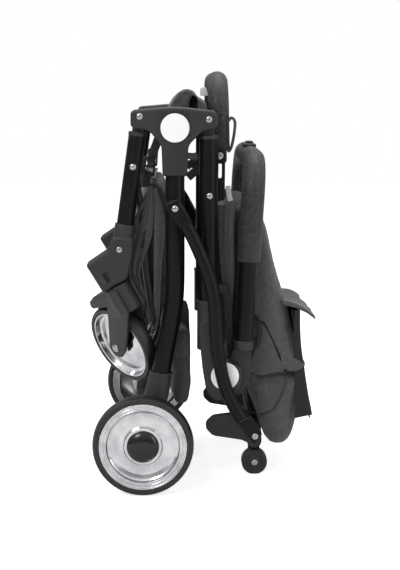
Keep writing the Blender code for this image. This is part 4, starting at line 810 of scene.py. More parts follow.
def handlePieces(side, tag):
    x = handlePivot.x
    hx, hz = hinge
    bottom = hz + 0.0485
    top = (handlePivot - Vector((0.0, tubeDrop))).y
    points = [at(side, (x, top + (bottom - top) * k / 24), legY) for k in range(25)]
    add(f"handle_tube_{tag}", tube(points, wheelTubeRadius, 40), paintedTube, "handle", f"handle_lower_{tag}")
    add(f"handle_tongue_{tag}", tongue(side, handlePivot, Vector((0, -1)), 0.0145), mouldedPlastic, "handle")
    rivet(f"handle_rivet_{tag}", side, handlePivot + Vector((0.0013, -0.1107)), legY + 0.0134, "handle")
    cx, cz = canopyPivot
    arm = rounded([(x + 0.0043, cz + 0.0083, 0.003), (cx + 0.0030, cz + 0.0065, 0.004),
                   (cx + 0.0060, cz - 0.0007, 0.003), (cx + 0.0030, cz - 0.0065, 0.004),
                   (x + 0.0043, cz - 0.0107, 0.003)])
    clip = together(sidePlate(side, arm, 0.1455, 0.1538, 0.0014, 4),
                    crossRod(side, canopyPivot, 0.1490, 0.1397, pinRadius, 20))
    add(f"canopy_clip_{tag}", clip, mouldedPlastic, "handle")
    sleeve = legRod(side, (x, hz + 0.0385), (x, hz + 0.1130), 0.0163, 44, 0.0012)
    cheek = rounded([(x - 0.0155, hz + 0.0830, 0.01), (x + 0.0155, hz + 0.0830, 0.01),
                     (x + 0.0160, hz + 0.0440, 0.02), (hx + 0.0075, hz + 0.0205, 0.012),
                     (hx + 0.0262, hz + 0.0130, 0.012), (hx + 0.0225, hz - 0.0215, 0.018),
                     (hx + 0.0020, hz - 0.0365, 0.012), (hx - 0.0150, hz - 0.0375, 0.009),
                     (hx - 0.0275, hz - 0.0250, 0.012), (x - 0.0085, hz + 0.012, 0.03)], 5.0)
    lobe = sidePlate(side, cheek, legY + gap, hingeFace, 0.0034, 5)
    shell = together(cut(fused(sleeve, lobe), discSeat(side, hinge, hingeFace)),
                     crossRod(side, hinge, legY - 0.0180, legY + 0.0135, 0.004, 20, 0.0))
    add(f"hinge_outer_shell_{tag}", shell, mouldedPlastic, "handle", f"hinge_lower_{tag}", angle=32)
    disc(f"hinge_cap_{tag}", side, hinge, hingeFace, "handle", f"hinge_disc_{tag}")
    collar = [(0.0166, 0.0), (0.0172, 0.0006), (0.0172, 0.0034), (0.0166, 0.0040), (0.0158, 0.0040),
              (0.0158, 0.0)]
    ring = turned(collar, (0, 0, 0), 1, 44)
    ring.transform(Matrix.Translation(at(side, (x, hz + 0.1090), legY)) @ Matrix.Rotation(radians(90), 4, "X"))
    add(f"hinge_outer_lip_{tag}", ring, mouldedPlastic, "handle")


def upperPieces(side, tag):
    start, end, low, high = [upperStart + upperWay * run for run in (0.0420, 0.1820, 0.0385, 0.0520)]
    mesh = tube([at(side, start.lerp(end, k / 12), legY) for k in range(13)], upperTubeRadius, 40)
    add(f"upper_tube_{tag}", mesh, paintedTube, "upper_handle", f"handle_upper_{tag}")
    hx, hz = hinge
    ux = upperStart.x
    sleeve = legRod(side, low, high, 0.0158, 44, 0.0010)
    outline = rounded([(ux - 0.0110, hz + 0.0460, 0.004), (ux + 0.0155, hz + 0.0460, 0.004),
                       (ux + 0.0145, hz + 0.0060, 0.02), (hx + 0.0371, hz - 0.0135, 0.012),
                       (hx + 0.0224, hz - 0.0340, 0.012), (hx + 0.0046, hz - 0.0375, 0.012),
                       (hx - 0.0215, hz - 0.010, 0.016), (hx - 0.0180, hz + 0.0180, 0.016),
                       (hx + 0.0060, hz + 0.0225, 0.014)], 5.0)
    lobe = sidePlate(side, outline, legY - 0.0165, legY - gap, 0.0030, 5)
    add(f"hinge_inner_shell_{tag}", fused(sleeve, lobe), mouldedPlastic, "upper_handle", f"hinge_upper_{tag}",
        angle=32)


# Up one side, over a bend and across the middle, then the same mirrored
def hoopRoute(foot, knee, top, half, bend, middle):
    points = [at(-1, foot.lerp(knee, k / 8), half) for k in range(9)]
    for step in range(1, 17):
        angle = radians(90 * step / 16)
        points.append(at(-1, knee.lerp(top, sin(angle)), half - bend * (1 - cos(angle))))
    points += [at(-1, top, y) for y in middle]
    return points + [Vector((p.x, -p.y, p.z)) for p in points[-2::-1]]


def gripPieces():
    low, knee, top = [upperStart + upperWay * run for run in (0.170, 0.2655, 0.3175)]
    points = hoopRoute(low, knee, top, legY, 0.052, (0.09, 0.07, 0.05, 0.034, 0.02, 0.0))
    saddle = block((top.x - 0.03, -0.034, top.y + 0.0138), (top.x + 0.03, 0.034, top.y + 0.04), 0.0)
    sleeve = cut(tube(points, 0.0173, 44, 0.0030), saddle)
    add("grip_sleeve", sleeve, leatherette, "upper_handle", "handle_grip", angle=45)
    base = top.y + 0.0138 + gap
    seat = block((top.x - 0.0095, -0.0335, base), (top.x + 0.0095, 0.0335, base + 0.0062), 0.0020, 4)
    pocket = block((top.x - 0.0062, -0.0135, base + 0.0016), (top.x + 0.0062, 0.0135, base + 0.02), 0.0)
    add("fold_button_seat", cut(seat, pocket), mouldedPlastic, "upper_handle", "fold_button_base", angle=35)
    button = block((top.x - 0.0057, -0.0130, base + 0.0050),
                   (top.x + 0.0057, 0.0130, base + 0.0098), 0.0015, 4)
    add("fold_button_cap", button, glossyPlastic, "fold_button", "fold_button", angle=35)
    return points


def bumperPieces():
    foot = bumperPivot + Vector((0.0, 0.0060))
    points = hoopRoute(foot, foot + Vector((-0.0014, 0.0560)), foot + Vector((-0.0026, 0.1020)), 0.128, 0.046,
                       (0.06, 0.04, 0.02, 0.0))
    add("bumper_padding", tube(points, 0.0155, 44, 0.0050), leatherette, "bumper", "bumper_bar", angle=50)
    inner = legY - 0.0144
    bx, bz = bumperPivot
    x = handlePivot.x - 0.0080
    end = around(bumperPivot, [(-0.0105, 0.0082, 0.003), (0.0105, 0.0082, 0.003), (0.0105, -0.0120, 0.006),
                               (-0.0105, -0.0120, 0.006)])
    strip = rounded([(bx - 0.0060, bz + 0.0080, 0.0055), (bx + 0.0080, bz + 0.0080, 0.0055),
                     (bx + 0.0075, bz - 0.0650, 0.005), (x, bz - 0.0740, 0.005), (x, bz - 0.0560, 0.005),
                     (bx - 0.0050, bz - 0.0500, 0.008)])
    slot = capsule((bx, bz - 0.0135), (bx, bz - 0.0300), 0.0030, 0.0030)
    for side, tag in sides:
        mount = sidePlate(side, end, 0.1170, inner - 0.0045, 0.0016, 4)
        add(f"bumper_block_{tag}", mount, mouldedPlastic, "bumper")
        flat = cut(sidePlate(side, strip, inner - 0.0042, inner),
                   sidePlate(side, slot, inner - 0.02, inner + 0.02, 0.0001, 1))
        pin = crossRod(side, bumperPivot, inner - 0.0005, inner - 0.0110, pinRadius, 20)
        add(f"bumper_strip_{tag}", together(flat, pin), paintedTube, "handle", f"bumper_bracket_{tag}")
        rivet(f"bumper_bolt_{tag}", side, bumperPivot, inner, "handle", 0.0050, 0.0010)


def stayPieces(side, tag):
    route = [(0.0110, -0.0150), (0.0260, -0.0430), (0.0355, -0.0640), (0.0475, -0.0930), (0.0552, -0.1220),
             (0.0588, -0.1500), (0.0610, -0.1900), (0.0660, -0.2300), (0.0752, -0.2680), (0.0902, -0.3000)]
    ax, az = stayPivot
    points = [at(side, (ax + x, az + z), stayY) for x, z in route] + [at(side, stayEnd, stayY)]
    upper = around(stayPivot, [(-0.0165, 0.0055, 0.004), (0.0035, 0.0150, 0.004), (0.0255, -0.0205, 0.0036),
                               (0.0075, -0.0310, 0.0036)], 6.0)
    add(f"stay_tube_{tag}", tube(spline(points, 6), 0.010, 36), paintedTube, "stay", f"stay_bar_{tag}")
    flat = sidePlate(side, upper, stayY - 0.0108, stayY + 0.0108, 0.0030, 5)
    add(f"stay_end_{tag}", flat, paintedTube, "stay", angle=34)


def stayCrossPieces():
    bar = crossRod(1, stayFoot, -stayY, stayY, 0.0095, 32)
    add("stay_cross_tube", bar, paintedTube, "stay", "stay_crossbar")
    outline = around(stayFoot, [(-0.0263, 0.0212, 0.003), (-0.0080, 0.0315, 0.003), (0.0112, 0.0030, 0.004),
                                (-0.0010, -0.0145, 0.004)], 6.0)
    for side, tag in sides:
        flat = sidePlate(side, outline, stayY - 0.0108, stayY + 0.0108, 0.0028, 5)
        add(f"stay_foot_plate_{tag}", flat, paintedTube, "stay", angle=34)
        rivet(f"stay_foot_rivet_{tag}", side, stayFoot, stayY + 0.0108, "stay")


def standPieces(side, tag):
    bx, bz = stayFoot
    foot = Vector((0.0833, 0.0190))
    tip = Vector((bx - 0.0600, bz - 0.0104))
    clamp = capsule(stayFoot, (foot.x - 0.0005, foot.y + 0.0340), 0.0145, 0.0115)
    web = rounded([(bx - 0.0030, bz + 0.0120, 0.003), (tip.x, tip.y + 0.0150, 0.0145),
                   (tip.x - 0.0150, tip.y, 0.0145), (tip.x, tip.y - 0.0155, 0.0140),
                   (bx - 0.0150, bz - 0.0330, 0.003), (bx + 0.006, bz - 0.0430, 0.003)])
    tab = capsule(foot + Vector((0.0, 0.034)), foot, 0.0100, 0.0080)
    link = capsule(foot + Vector((-0.004, 0.036)), foot + Vector((0.003, 0.033)), 0.008, 0.008)
    solid = fused(sidePlate(side, clamp, standY - 0.0090, standY + 0.0090, 0.0014, 4),
                  sidePlate(side, web, standY - 0.0080, standY + 0.0080, 0.0014, 4),
                  sidePlate(side, tab, standY - 0.0190, standY - 0.0113, 0.0012, 4),
                  sidePlate(side, link, standY - 0.0190, standY - 0.004))
    shell = cut(solid, crossRod(side, stayFoot, standY - 0.03, standY + 0.03, 0.0098, 40, 0.0))
    add(f"stand_bracket_shell_{tag}", shell, mouldedPlastic, "stay", f"stand_bracket_{tag}", angle=34)
    wheel = turned(eased([(0.0035, 0.0090, 0.0), (0.0125, 0.0090, 0.0005), (0.0135, 0.0110, 0.0006),
                          (0.0180, 0.0110, 0.001), (0.0200, 0.0088, 0.0015), (0.0200, -0.0088, 0.0015),
                          (0.0180, -0.0110, 0.001),
                          (0.0035, -0.0110, 0.0)]), at(side, foot, standY), side, 72)
    y = side * standY
    ground = block((foot.x - 0.03, y - 0.03, -0.03), (foot.x + 0.03, y + 0.03, 0.0), 0.0)
    add(f"stand_foot_wheel_{tag}", cut(wheel, ground), mouldedPlastic, "stay", f"stand_foot_{tag}", angle=34)
    head = turned(eased([(0.0, 0.0036, 0.0), (0.0052, 0.0036, 0.0008), (0.0060, 0.0020, 0.0004),
                         (0.0060, 0.0, 0.0), (0.0, 0.0, 0.0)]), at(side, foot, standY + 0.0088), side, 6)
    add(f"stand_bolt_{tag}", head, brightSteel, "stay", angle=20)


for side, tag in sides:
    for build in (hubPieces, rearLegPieces, rearWheelPieces, frontLegPieces, casterPieces, handlePieces,
                  upperPieces, stayPieces, standPieces):
        build(side, tag)
axlePieces()
footrestPieces()
gripRoute = gripPieces()
bumperPieces()
stayCrossPieces()
print("frame, wheels and handle made")


# Stitches: one node tree that lays short threads along a curve

def makeStitchTree():
    tree = bpy.data.node_groups.new("stitchRun", "GeometryNodeTree")
    tree.interface.new_socket("Geometry", in_out="INPUT", socket_type="NodeSocketGeometry")
    ids = {}
    for label, kind in (("Pitch", "NodeSocketFloat"), ("Thread", "NodeSocketFloat"),
                        ("Length", "NodeSocketFloat"), ("Material", "NodeSocketMaterial")):
        ids[label] = tree.interface.new_socket(label, in_out="INPUT", socket_type=kind).identifier
    tree.interface.new_socket("Geometry", in_out="OUTPUT", socket_type="NodeSocketGeometry")
    given = tree.nodes.new("NodeGroupInput")
    spaced = node(tree, "GeometryNodeResampleCurve",
                  {"Curve": given.outputs["Geometry"], "Length": given.outputs["Pitch"]}, mode="LENGTH")
    along = node(tree, "GeometryNodeInputTangent")
    turn = node(tree, "FunctionNodeAlignRotationToVector", {"Vector": along.outputs[0]}, axis="Z")
    thread = node(tree, "GeometryNodeMeshCylinder",
                  {"Vertices": 8, "Side Segments": 3, "Radius": given.outputs["Thread"],
                   "Depth": given.outputs["Length"]})
    laid = node(tree, "GeometryNodeInstanceOnPoints",
                {"Points": spaced.outputs[0], "Instance": thread.outputs[0], "Rotation": turn.outputs[0]})
    real = node(tree, "GeometryNodeRealizeInstances", {0: laid.outputs[0]})
    finished = node(tree, "GeometryNodeSetMaterial",
                    {"Geometry": real.outputs[0], "Material": given.outputs["Material"]})
    out = tree.nodes.new("NodeGroupOutput")
    tree.links.new(finished.outputs[0], out.inputs[0])
    return tree, ids


stitchTree, stitchIds = makeStitchTree()


# Threads as long as two thirds of their pitch
def stitches(name, route, body, pitch, thread):
    curve = bpy.data.curves.new("stitchRoute", "CURVE")
    curve.dimensions = "3D"
    line = curve.splines.new("POLY")
    line.points.add(len(route) - 1)
    for index, place in enumerate(route):
        line.points[index].co = (*place, 1.0)
    made = put(curve)
    step = made.modifiers.new("stitchRun", "NODES")
    step.node_group = stitchTree
    for label, value in (("Pitch", pitch), ("Thread", thread), ("Length", pitch * 0.66),
                         ("Material", threadLook)):
        step[stitchIds[label]] = value
    add(name, evaluated(made), threadLook, body)


# Soft goods

# Points at equal distances round a closed outline
def evenly(outline, count):
    route = spline([(x, z, 0.0) for x, z in outline], 10, closed=True)
    route.append(route[0])
    lengths = [0.0]
    for p, q in zip(route, route[1:]):
        lengths.append(lengths[-1] + (q - p).length)
    out = []
    index = 0
    for k in range(count):
        want = lengths[-1] * k / count
        while lengths[index + 1] < want:
            index += 1
        share = (want - lengths[index]) / max(lengths[index + 1] - lengths[index], 1e-9)
        out.append(route[index].lerp(route[index + 1], share).to_2d())
    return out


# A closed cushion: the outline across the stroller, drawn in and rounded towards both ends
def pillow(outline, half, drawIn, puff):
    count = 110
    stations = 28
    ring = evenly(outline, count)
    area = sum(p.x * q.y - q.x * p.y for p, q in zip(ring, ring[1:] + ring[:1]))
    turn = 1 if area > 0 else -1
    normals = []
    for k in range(count):
        way = (ring[(k + 2) % count] - ring[k - 2]).normalized()
        normals.append(Vector((-way.y, way.x)) * turn)
    centre = sum(ring, Vector((0.0, 0.0))) / count
    shares = [-1 + 2 * k / stations for k in range(stations + 1)]
    marks = [(y * (half - puff), drawIn * abs(y) ** 4) for y in shares]
    for angle in (25, 45, 62, 78):
        size = radians(angle)
        marks.append((half - puff + puff * sin(size), drawIn + puff * (1 - cos(size))))
        marks.insert(0, (-half + puff - puff * sin(size), drawIn + puff * (1 - cos(size))))
    rows = [[Vector((p.x + n.x * inset, y, p.y + n.y * inset)) for p, n in zip(ring, normals)]
            for y, inset in marks]
    for end in (0, -1):
        edge = rows[end]
        sign = -1 if end == 0 else 1
        inner = []
        for scale in (0.82, 0.62, 0.42, 0.22):
            inner.append([Vector((centre.x + (p.x - centre.x) * scale, p.y + sign * 0.0006,
                                  centre.y + (p.z - centre.y) * scale)) for p in edge])
        rows = inner[::-1] + rows if end == 0 else rows + inner
    return gridMesh(rows, wrapAlong=True, caps=True)


def arrays(mesh):
    count = len(mesh.vertices)
    co = np.zeros(count * 3)
    no = np.zeros(count * 3)
    mesh.vertices.foreach_get("co", co)
    mesh.vertices.foreach_get("normal", no)
    return co.reshape(-1, 3), no.reshape(-1, 3)


# For each point, how far it is from a line in the side view, and on which side
def nearLine(co, line):
    best = np.full(len(co), 9.0)
    side = np.zeros(len(co))
    for (ax, az), (bx, bz) in zip(line, line[1:]):
        dx, dz = bx - ax, bz - az
        px, pz = co[:, 0] - ax, co[:, 2] - az
        t = np.clip((px * dx + pz * dz) / (dx * dx + dz * dz), 0, 1)
        ex, ez = px - t * dx, pz - t * dz
        d = np.hypot(ex, ez)
        closer = d < best
        best = np.where(closer, d, best)
        side = np.where(closer, np.sign(dx * pz - dz * px), side)
    return best, side


def ramp(value, low, high):
    t = np.clip((value - low) / (high - low), 0, 1)
    return t * t * (3 - 2 * t)


def groove(d, width):
    return np.exp(-(d / width) ** 2)


def wrinkles(co, stretch, size, seed):
    offset = Vector((seed * 7.3, seed * 3.1, seed * 5.7))
    values = []
    for p in co:
        place = Vector((p[0] * stretch[0], p[1] * stretch[1], p[2] * stretch[2])) / size + offset
        values.append(noise.noise(place) + 0.45 * noise.noise(place * 2.3))
    return np.array(values)


def shifted(mesh, amount):
    co, no = arrays(mesh)
    mesh.vertices.foreach_set("co", (co + no * amount[:, None]).ravel())
    mesh.update()
    return mesh


# Cloth filled with air for a short run; no point may move further than about cap
def swollen(mesh, cap, voxel, pressure, pinned=None, slack=0.0):
    finer = ("SUBSURF", {"levels": 1, "render_levels": 1})
    mesh = worked(mesh, ("REMESH", {"mode": "VOXEL", "voxel_size": voxel, "use_smooth_shade": True}))
    start = arrays(mesh)[0]
    made = put(mesh)
    cloth = made.modifiers.new("Cloth", "CLOTH")
    facts = cloth.settings
    for key, value in (("quality", 4), ("mass", 0.25), ("tension_stiffness", 12.0),
                       ("compression_stiffness", 8.0), ("shear_stiffness", 4.0), ("bending_stiffness", 0.15),
                       ("use_pressure", True), ("uniform_pressure_force", pressure), ("shrink_min", -slack)):
        setattr(facts, key, value)
    facts.effector_weights.gravity = 0.0
    cloth.collision_settings.use_collision = False
    if pinned is not None:
        group = made.vertex_groups.new(name="pinned")
        weights = pinned(start)
        for index in np.nonzero(weights > 0.02)[0]:
            group.add([int(index)], float(weights[index]), "REPLACE")
        facts.vertex_group_mass = "pinned"
    steps = 20
    cloth.point_cache.frame_start = 1
    cloth.point_cache.frame_end = steps
    for frameNumber in range(1, steps + 1):
        scene.frame_set(frameNumber)
    graph = bpy.context.evaluated_depsgraph_get()
    result = bpy.data.meshes.new_from_object(made.evaluated_get(graph))
    bpy.data.objects.remove(made, do_unlink=True)
    scene.frame_set(1)
    move = arrays(result)[0] - start
    far = np.linalg.norm(move, axis=1)
    limit = cap * np.tanh(far / cap) / np.maximum(far, 1e-9)
    result.vertices.foreach_set("co", (start + move * limit[:, None]).ravel())
    result.update()
    return worked(result, ("SMOOTH", {"factor": 0.5, "iterations": 1}), finer)


# Points on the outside of a placed piece, looked at from one side, in the frame that add() expects
def surfacePoints(mesh, route, sign, lift):
    tree = BVHTree.FromPolygons([v.co for v in mesh.vertices], [p.vertices for p in mesh.polygons])
    out = []
    for x, z in route:
        hit, normal = tree.ray_cast(Vector((x, sign * 0.3, z)), Vector((0, -sign, 0)))[:2]
        if hit is not None:
            out.append(hit + normal * lift - Vector((centreShift, 0.0, 0.0)))
    return out


def pathOf(points, steps=10):
    return [p.to_2d() for p in spline([(x, z, 0.0) for x, z in points], steps)]


# The mesh, kept within the box of the solid that it replaces
def insideBox(mesh, nodeName, slack):
    low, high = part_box(nodeName)
    shift = np.array([-centreShift, 0.0, 0.0])
    co = np.clip(arrays(mesh)[0], np.array(low) + shift - slack, np.array(high) + shift + slack)
    mesh.vertices.foreach_set("co", co.ravel())
    mesh.update()
    return mesh


canopyOutline = [(0.0415, 0.4150), (0.0580, 0.4250), (0.0820, 0.4110), (0.0929, 0.3935), (0.0977, 0.3754),
                 (0.1040, 0.3450), (0.1104, 0.3206), (0.1183, 0.2946), (0.1247, 0.2731), (0.1326, 0.2499),
                 (0.1400, 0.2220), (0.1480, 0.2020), (0.1550, 0.1815), (0.1595, 0.1658), (0.1580, 0.1532),
                 (0.1530, 0.1375), (0.1460, 0.1059), (0.1420, 0.0837), (0.1365, 0.0646), (0.1250, 0.0530),
                 (0.1110, 0.0505), (0.1020, 0.0570), (0.0960, 0.0740), (0.0850, 0.1050), (0.0690, 0.1480),
                 (0.0440, 0.1690), (0.0415, 0.2500), (0.0415, 0.3400)]
canopySeams = [[(0.0800, 0.2593), (0.0909, 0.2516), (0.1001, 0.2347), (0.1111, 0.2115), (0.1205, 0.1882),
                (0.1283, 0.1711)],
               [(0.1284, 0.1633), (0.1240, 0.1492), (0.1182, 0.1320), (0.1092, 0.1147), (0.1001, 0.1068),
                (0.0864, 0.1005)]]
canopyValley = [(0.0560, 0.1720), (0.0735, 0.1665), (0.0857, 0.1618), (0.1010, 0.1633), (0.1131, 0.1664),
                (0.1284, 0.1672), (0.1406, 0.1664), (0.1600, 0.1690)]
canopyLens = [(0.0700, 0.2680), (0.0787, 0.2624), (0.0863, 0.2501), (0.0895, 0.2378), (0.0867, 0.2193),
              (0.0807, 0.2038), (0.0748, 0.1914), (0.0700, 0.1850)]
canopyPuffs = [([(0.0700, 0.1800), (0.0800, 0.1850), (0.0900, 0.1930)], 0.0022, 0.0045),
               ([(0.0740, 0.1720), (0.0860, 0.1740), (0.0990, 0.1800)], -0.0016, 0.0030),
               ([(0.0740, 0.1560), (0.0850, 0.1440), (0.0980, 0.1330)], 0.0018, 0.0050),
               ([(0.1600, 0.2700), (0.1230, 0.2300), (0.1130, 0.1900)], -0.0018, 0.0060),
               ([(0.1380, 0.2300), (0.1450, 0.2000), (0.1500, 0.1780)], 0.0030, 0.0100),
               ([(0.1500, 0.1560), (0.1400, 0.1200), (0.1330, 0.0850)], -0.0018, 0.0060),
               ([(0.1250, 0.1500), (0.1150, 0.1150), (0.1120, 0.0750)], 0.0016, 0.0080),
               ([(0.1040, 0.3300), (0.1120, 0.2900), (0.1060, 0.2450)], 0.0014, 0.0090)]


def canopyPieces():
    base = pillow(canopyOutline, 0.1378, 0.003, 0.012)
    panelSeamY = 0.062

    def pinned(co):
        d = nearLine(co, canopyValley)[0]
        weight = 0.9 * (1 - ramp(d, 0.002, 0.012)) * ramp(np.abs(co[:, 1]), 0.090, 0.120)
        seam = 1 - ramp(np.abs(np.abs(co[:, 1]) - panelSeamY), 0.0, 0.007)
        return np.maximum(weight, 0.8 * seam * ramp(co[:, 0], 0.075, 0.085))

    mesh = swollen(base, 0.005, 0.0044, 3.0, pinned, 0.03)
    co = arrays(mesh)[0]
    flank = ramp(np.abs(co[:, 1]), 0.100, 0.128)
    move = np.zeros(len(co))
    d, side = nearLine(co, canopyValley)
    above = side > 0
    move -= 0.0115 * groove(d, np.where(above, 0.0042, 0.0085)) * flank
    move += np.where(above, 0.0036, 0.0) * groove(d - 0.013, 0.008) * flank
    for line in canopySeams:
        move -= 0.0012 * groove(nearLine(co, line)[0], 0.0030) * flank
    d, side = nearLine(co, canopyLens)
    inside = (side < 0) & (co[:, 0] < 0.094) & (co[:, 2] > 0.184) & (co[:, 2] < 0.268)
    move -= np.where(inside, 0.0090 * ramp(d, 0.0, 0.0045), 0.0) * flank
    for line, height, width in canopyPuffs:
        move += height * groove(nearLine(co, line)[0], width) * flank
    panel = np.abs(np.abs(co[:, 1]) - panelSeamY)
    move -= 0.0016 * groove(panel, 0.0030) * ramp(co[:, 0], 0.085, 0.105)
    move += 0.0014 * wrinkles(co, (1.0, 0.55, 0.8), 0.034, 1) + 0.0003 * wrinkles(co, (1.3, 0.8, 0.5), 0.012, 2)
    mesh = insideBox(shifted(mesh, move), "canopy_rear", 0.002)
    mesh.materials.append(canopyCloth)
    mesh.materials.append(seatAndShadeCloth)
    # The faces inside the lens take the seat cloth, a little darker than the canopy cloth: painted shade on the
    # folded-in panel
    for face in mesh.polygons:
        x, y, z = face.center
        if abs(y) > 0.118 and x < 0.0915 and 0.186 < z < 0.266:
            spot = np.array([[x, y, z]])
            d, side = nearLine(spot, canopyLens)
            if side[0] < 0 and d[0] > 0.0010:
                face.material_index = 1
    piece = settled("canopy_bundle", mesh, "handle", ["canopy_rear"], 60)
    for side, tag in sides:
        for index, line in enumerate([canopySeams[1], canopyLens[1:6]]):
            path = pathOf(line)
            route = surfacePoints(mesh, path, side, 0.0004)
            add(f"canopy_piping_{index}_{tag}", tube(route[1:-1], 0.0009, 8, 0.0003), threadLook, "handle")
            sewn = surfacePoints(mesh, [(x + 0.0034, z + 0.0018) for x, z in path], side, 0.0002)
            stitches(f"canopy_seam_{index}_{tag}", sewn[2:-2], "handle", 0.0036, 0.00030)


def sewnSheet(rows, thickness):
    return worked(thick(gridMesh(rows), thickness), softEdges(thickness * 0.3))


# A sheet along a path in the side view; wave gives its shift in x and z
def clothSheet(path, half, wave, thickness):
    last = len(path) - 1
    rows = []
    for k in range(73):
        share = -1 + k / 36
        row = []
        for index, p in enumerate(path):
            dx, dz = wave(index / last, share)
            row.append(Vector((p.x + dx, share * half, p.y + dz)))
        rows.append(row)
    return sewnSheet(rows, thickness)


# A sheet whose two sides turn round a rounded edge and run back as wings
def wrappedSheet(path, wing, half, radius, wave, thickness):
    steps = []
    for k in range(9):
        steps.append((1 - k / 8, -half, 0.0))
    for k in range(1, 6):
        turn = radians(90) * k / 6
        steps.append((0.0, -half + radius * (1 - cos(turn)), radius * sin(turn)))
    steps += [(0.0, -half + radius + (half - radius) * k / 24, radius) for k in range(25)]
    steps += [(share, -y, push) for share, y, push in steps[-2::-1]]
    rows = []
    last = len(path) - 1
    for share, y, push in steps:
        row = []
        for index, p in enumerate(path):
            t = index / last
            dx, dz = wave(t, y / half)
            x = p.x - radius + push - share * wing(t) + dx * (1 - share)
            row.append(Vector((x, y, p.y + dz - 0.005 * share * t)))
        rows.append(row)
    return sewnSheet(rows, thickness)


def visorPieces():
    top = pathOf([(0.1170, 0.2800), (0.1250, 0.2788), (0.1365, 0.2755), (0.1470, 0.2715), (0.1570, 0.2668),
                  (0.1680, 0.2590), (0.1722, 0.2545)], 8)
    under = pathOf([(0.1706, 0.2525), (0.1660, 0.2560), (0.1558, 0.2622), (0.1467, 0.2652), (0.1360, 0.2690),
                    (0.1250, 0.2715), (0.1180, 0.2724)], 8)
    ring = top + under
    rows = []
    for k in range(57):
        share = -1 + k / 28
        row = []
        for p in ring:
            out = ramp(p.x, 0.118, 0.172)
            droop = ramp(share, -0.9, 0.9)
            sag = 0.0014 * sin(share * 9.0 + 0.8) * (0.45 + 0.55 * out) - droop * (0.0240 - 0.0130 * out)
            tuck = 0.0090 * ramp(-share, 0.80, 1.0) * (1.0 - out)
            row.append(Vector((p.x + tuck + 0.0010 * cos(share * 14.0) * out, share * 0.1372, p.y + sag)))
        rows.append(row)
    flap = worked(gridMesh(rows, wrapAlong=True, caps=True), softEdges(0.0008, 3))
    piece = add("visor_flap", flap, canopyCloth, "visor", "canopy_visor", angle=50)
    hang = pathOf([(0.1480, 0.2650), (0.1488, 0.2331), (0.1510, 0.2053), (0.1560, 0.1741), (0.1612, 0.1397),
                   (0.1660, 0.1177), (0.1690, 0.1015)], 8)

    def sunk(t, share):
        return -0.0200 * ramp(share, -0.9, 0.9) * (1 - t) ** 2

    def hangWave(t, share):
        fold = 0.0016 * sin(share * 11.0 + 2.0 * t) * ramp(t, 0.05, 0.4)
        return (fold * (1 - share * share), 0.0012 * sin(share * 6.0) * t + sunk(t, share))

    strip = wrappedSheet(hang, lambda t: 0.0040 + 0.0190 * t ** 1.5, 0.1372, 0.0040, hangWave, 0.0020)
    piece = add("visor_hanging_panel", strip, nearBlackCloth, "visor", angle=60)
    inner = pathOf([(0.1380, 0.2640), (0.1410, 0.2400), (0.1450, 0.2150), (0.1500, 0.1900), (0.1540, 0.1700)])

    def liningWave(t, share):
        return (0.0010 * sin(share * 8.0 + 1.0), sunk(t, share))

    back = clothSheet(inner, 0.1340, liningWave, 0.0016)
    piece = add("visor_lining", back, nearBlackCloth, "visor", angle=60)
    for side, tag in sides:
        last = len(hang) - 1
        edge = [Vector((p.x, side * 0.1384, p.y + sunk(k / last, side))) for k, p in enumerate(hang)]
        stitches(f"visor_stitches_{tag}", edge[4:-4], "visor", 0.0036, 0.00028)


def bowPieces():
    cx, cz = canopyPivot
    way = [(cx + 0.0020, cz - 0.0030, 0.1425), (0.0860, 0.2500, 0.1420), (0.0925, 0.2480, 0.1412),
           (0.1001, 0.2347, 0.1405), (0.1111, 0.2115, 0.1405), (0.1205, 0.1882, 0.1400),
           (0.1290, 0.1700, 0.1375), (0.1420, 0.1668, 0.1345), (0.1560, 0.1620, 0.1335),
           (0.1610, 0.1420, 0.1335), (0.1640, 0.1180, 0.1335), (0.1656, 0.0990, 0.1320),
           (0.1665, 0.0960, 0.1260)]
    points = spline([(x, -y, z) for x, z, y in way], 5)
    points += [Vector((p.x, -p.y, p.z)) for p in reversed(points)]
    rodMesh = tube(points, 0.0012, 12, 0.0004)
    eyes = []
    for side in (-1, 1):
        ring = eased([(0.0035, 0.0024, 0.0004), (0.0056, 0.0024, 0.0006), (0.0056, -0.0024, 0.0006),
                      (0.0035, -0.0024, 0.0004)])
        eyes.append(turned(ring, at(side, canopyPivot, 0.1425), side, 32))
    add("canopy_bow_wire", together(rodMesh, *eyes), paintedTube, "visor", "canopy_bow")


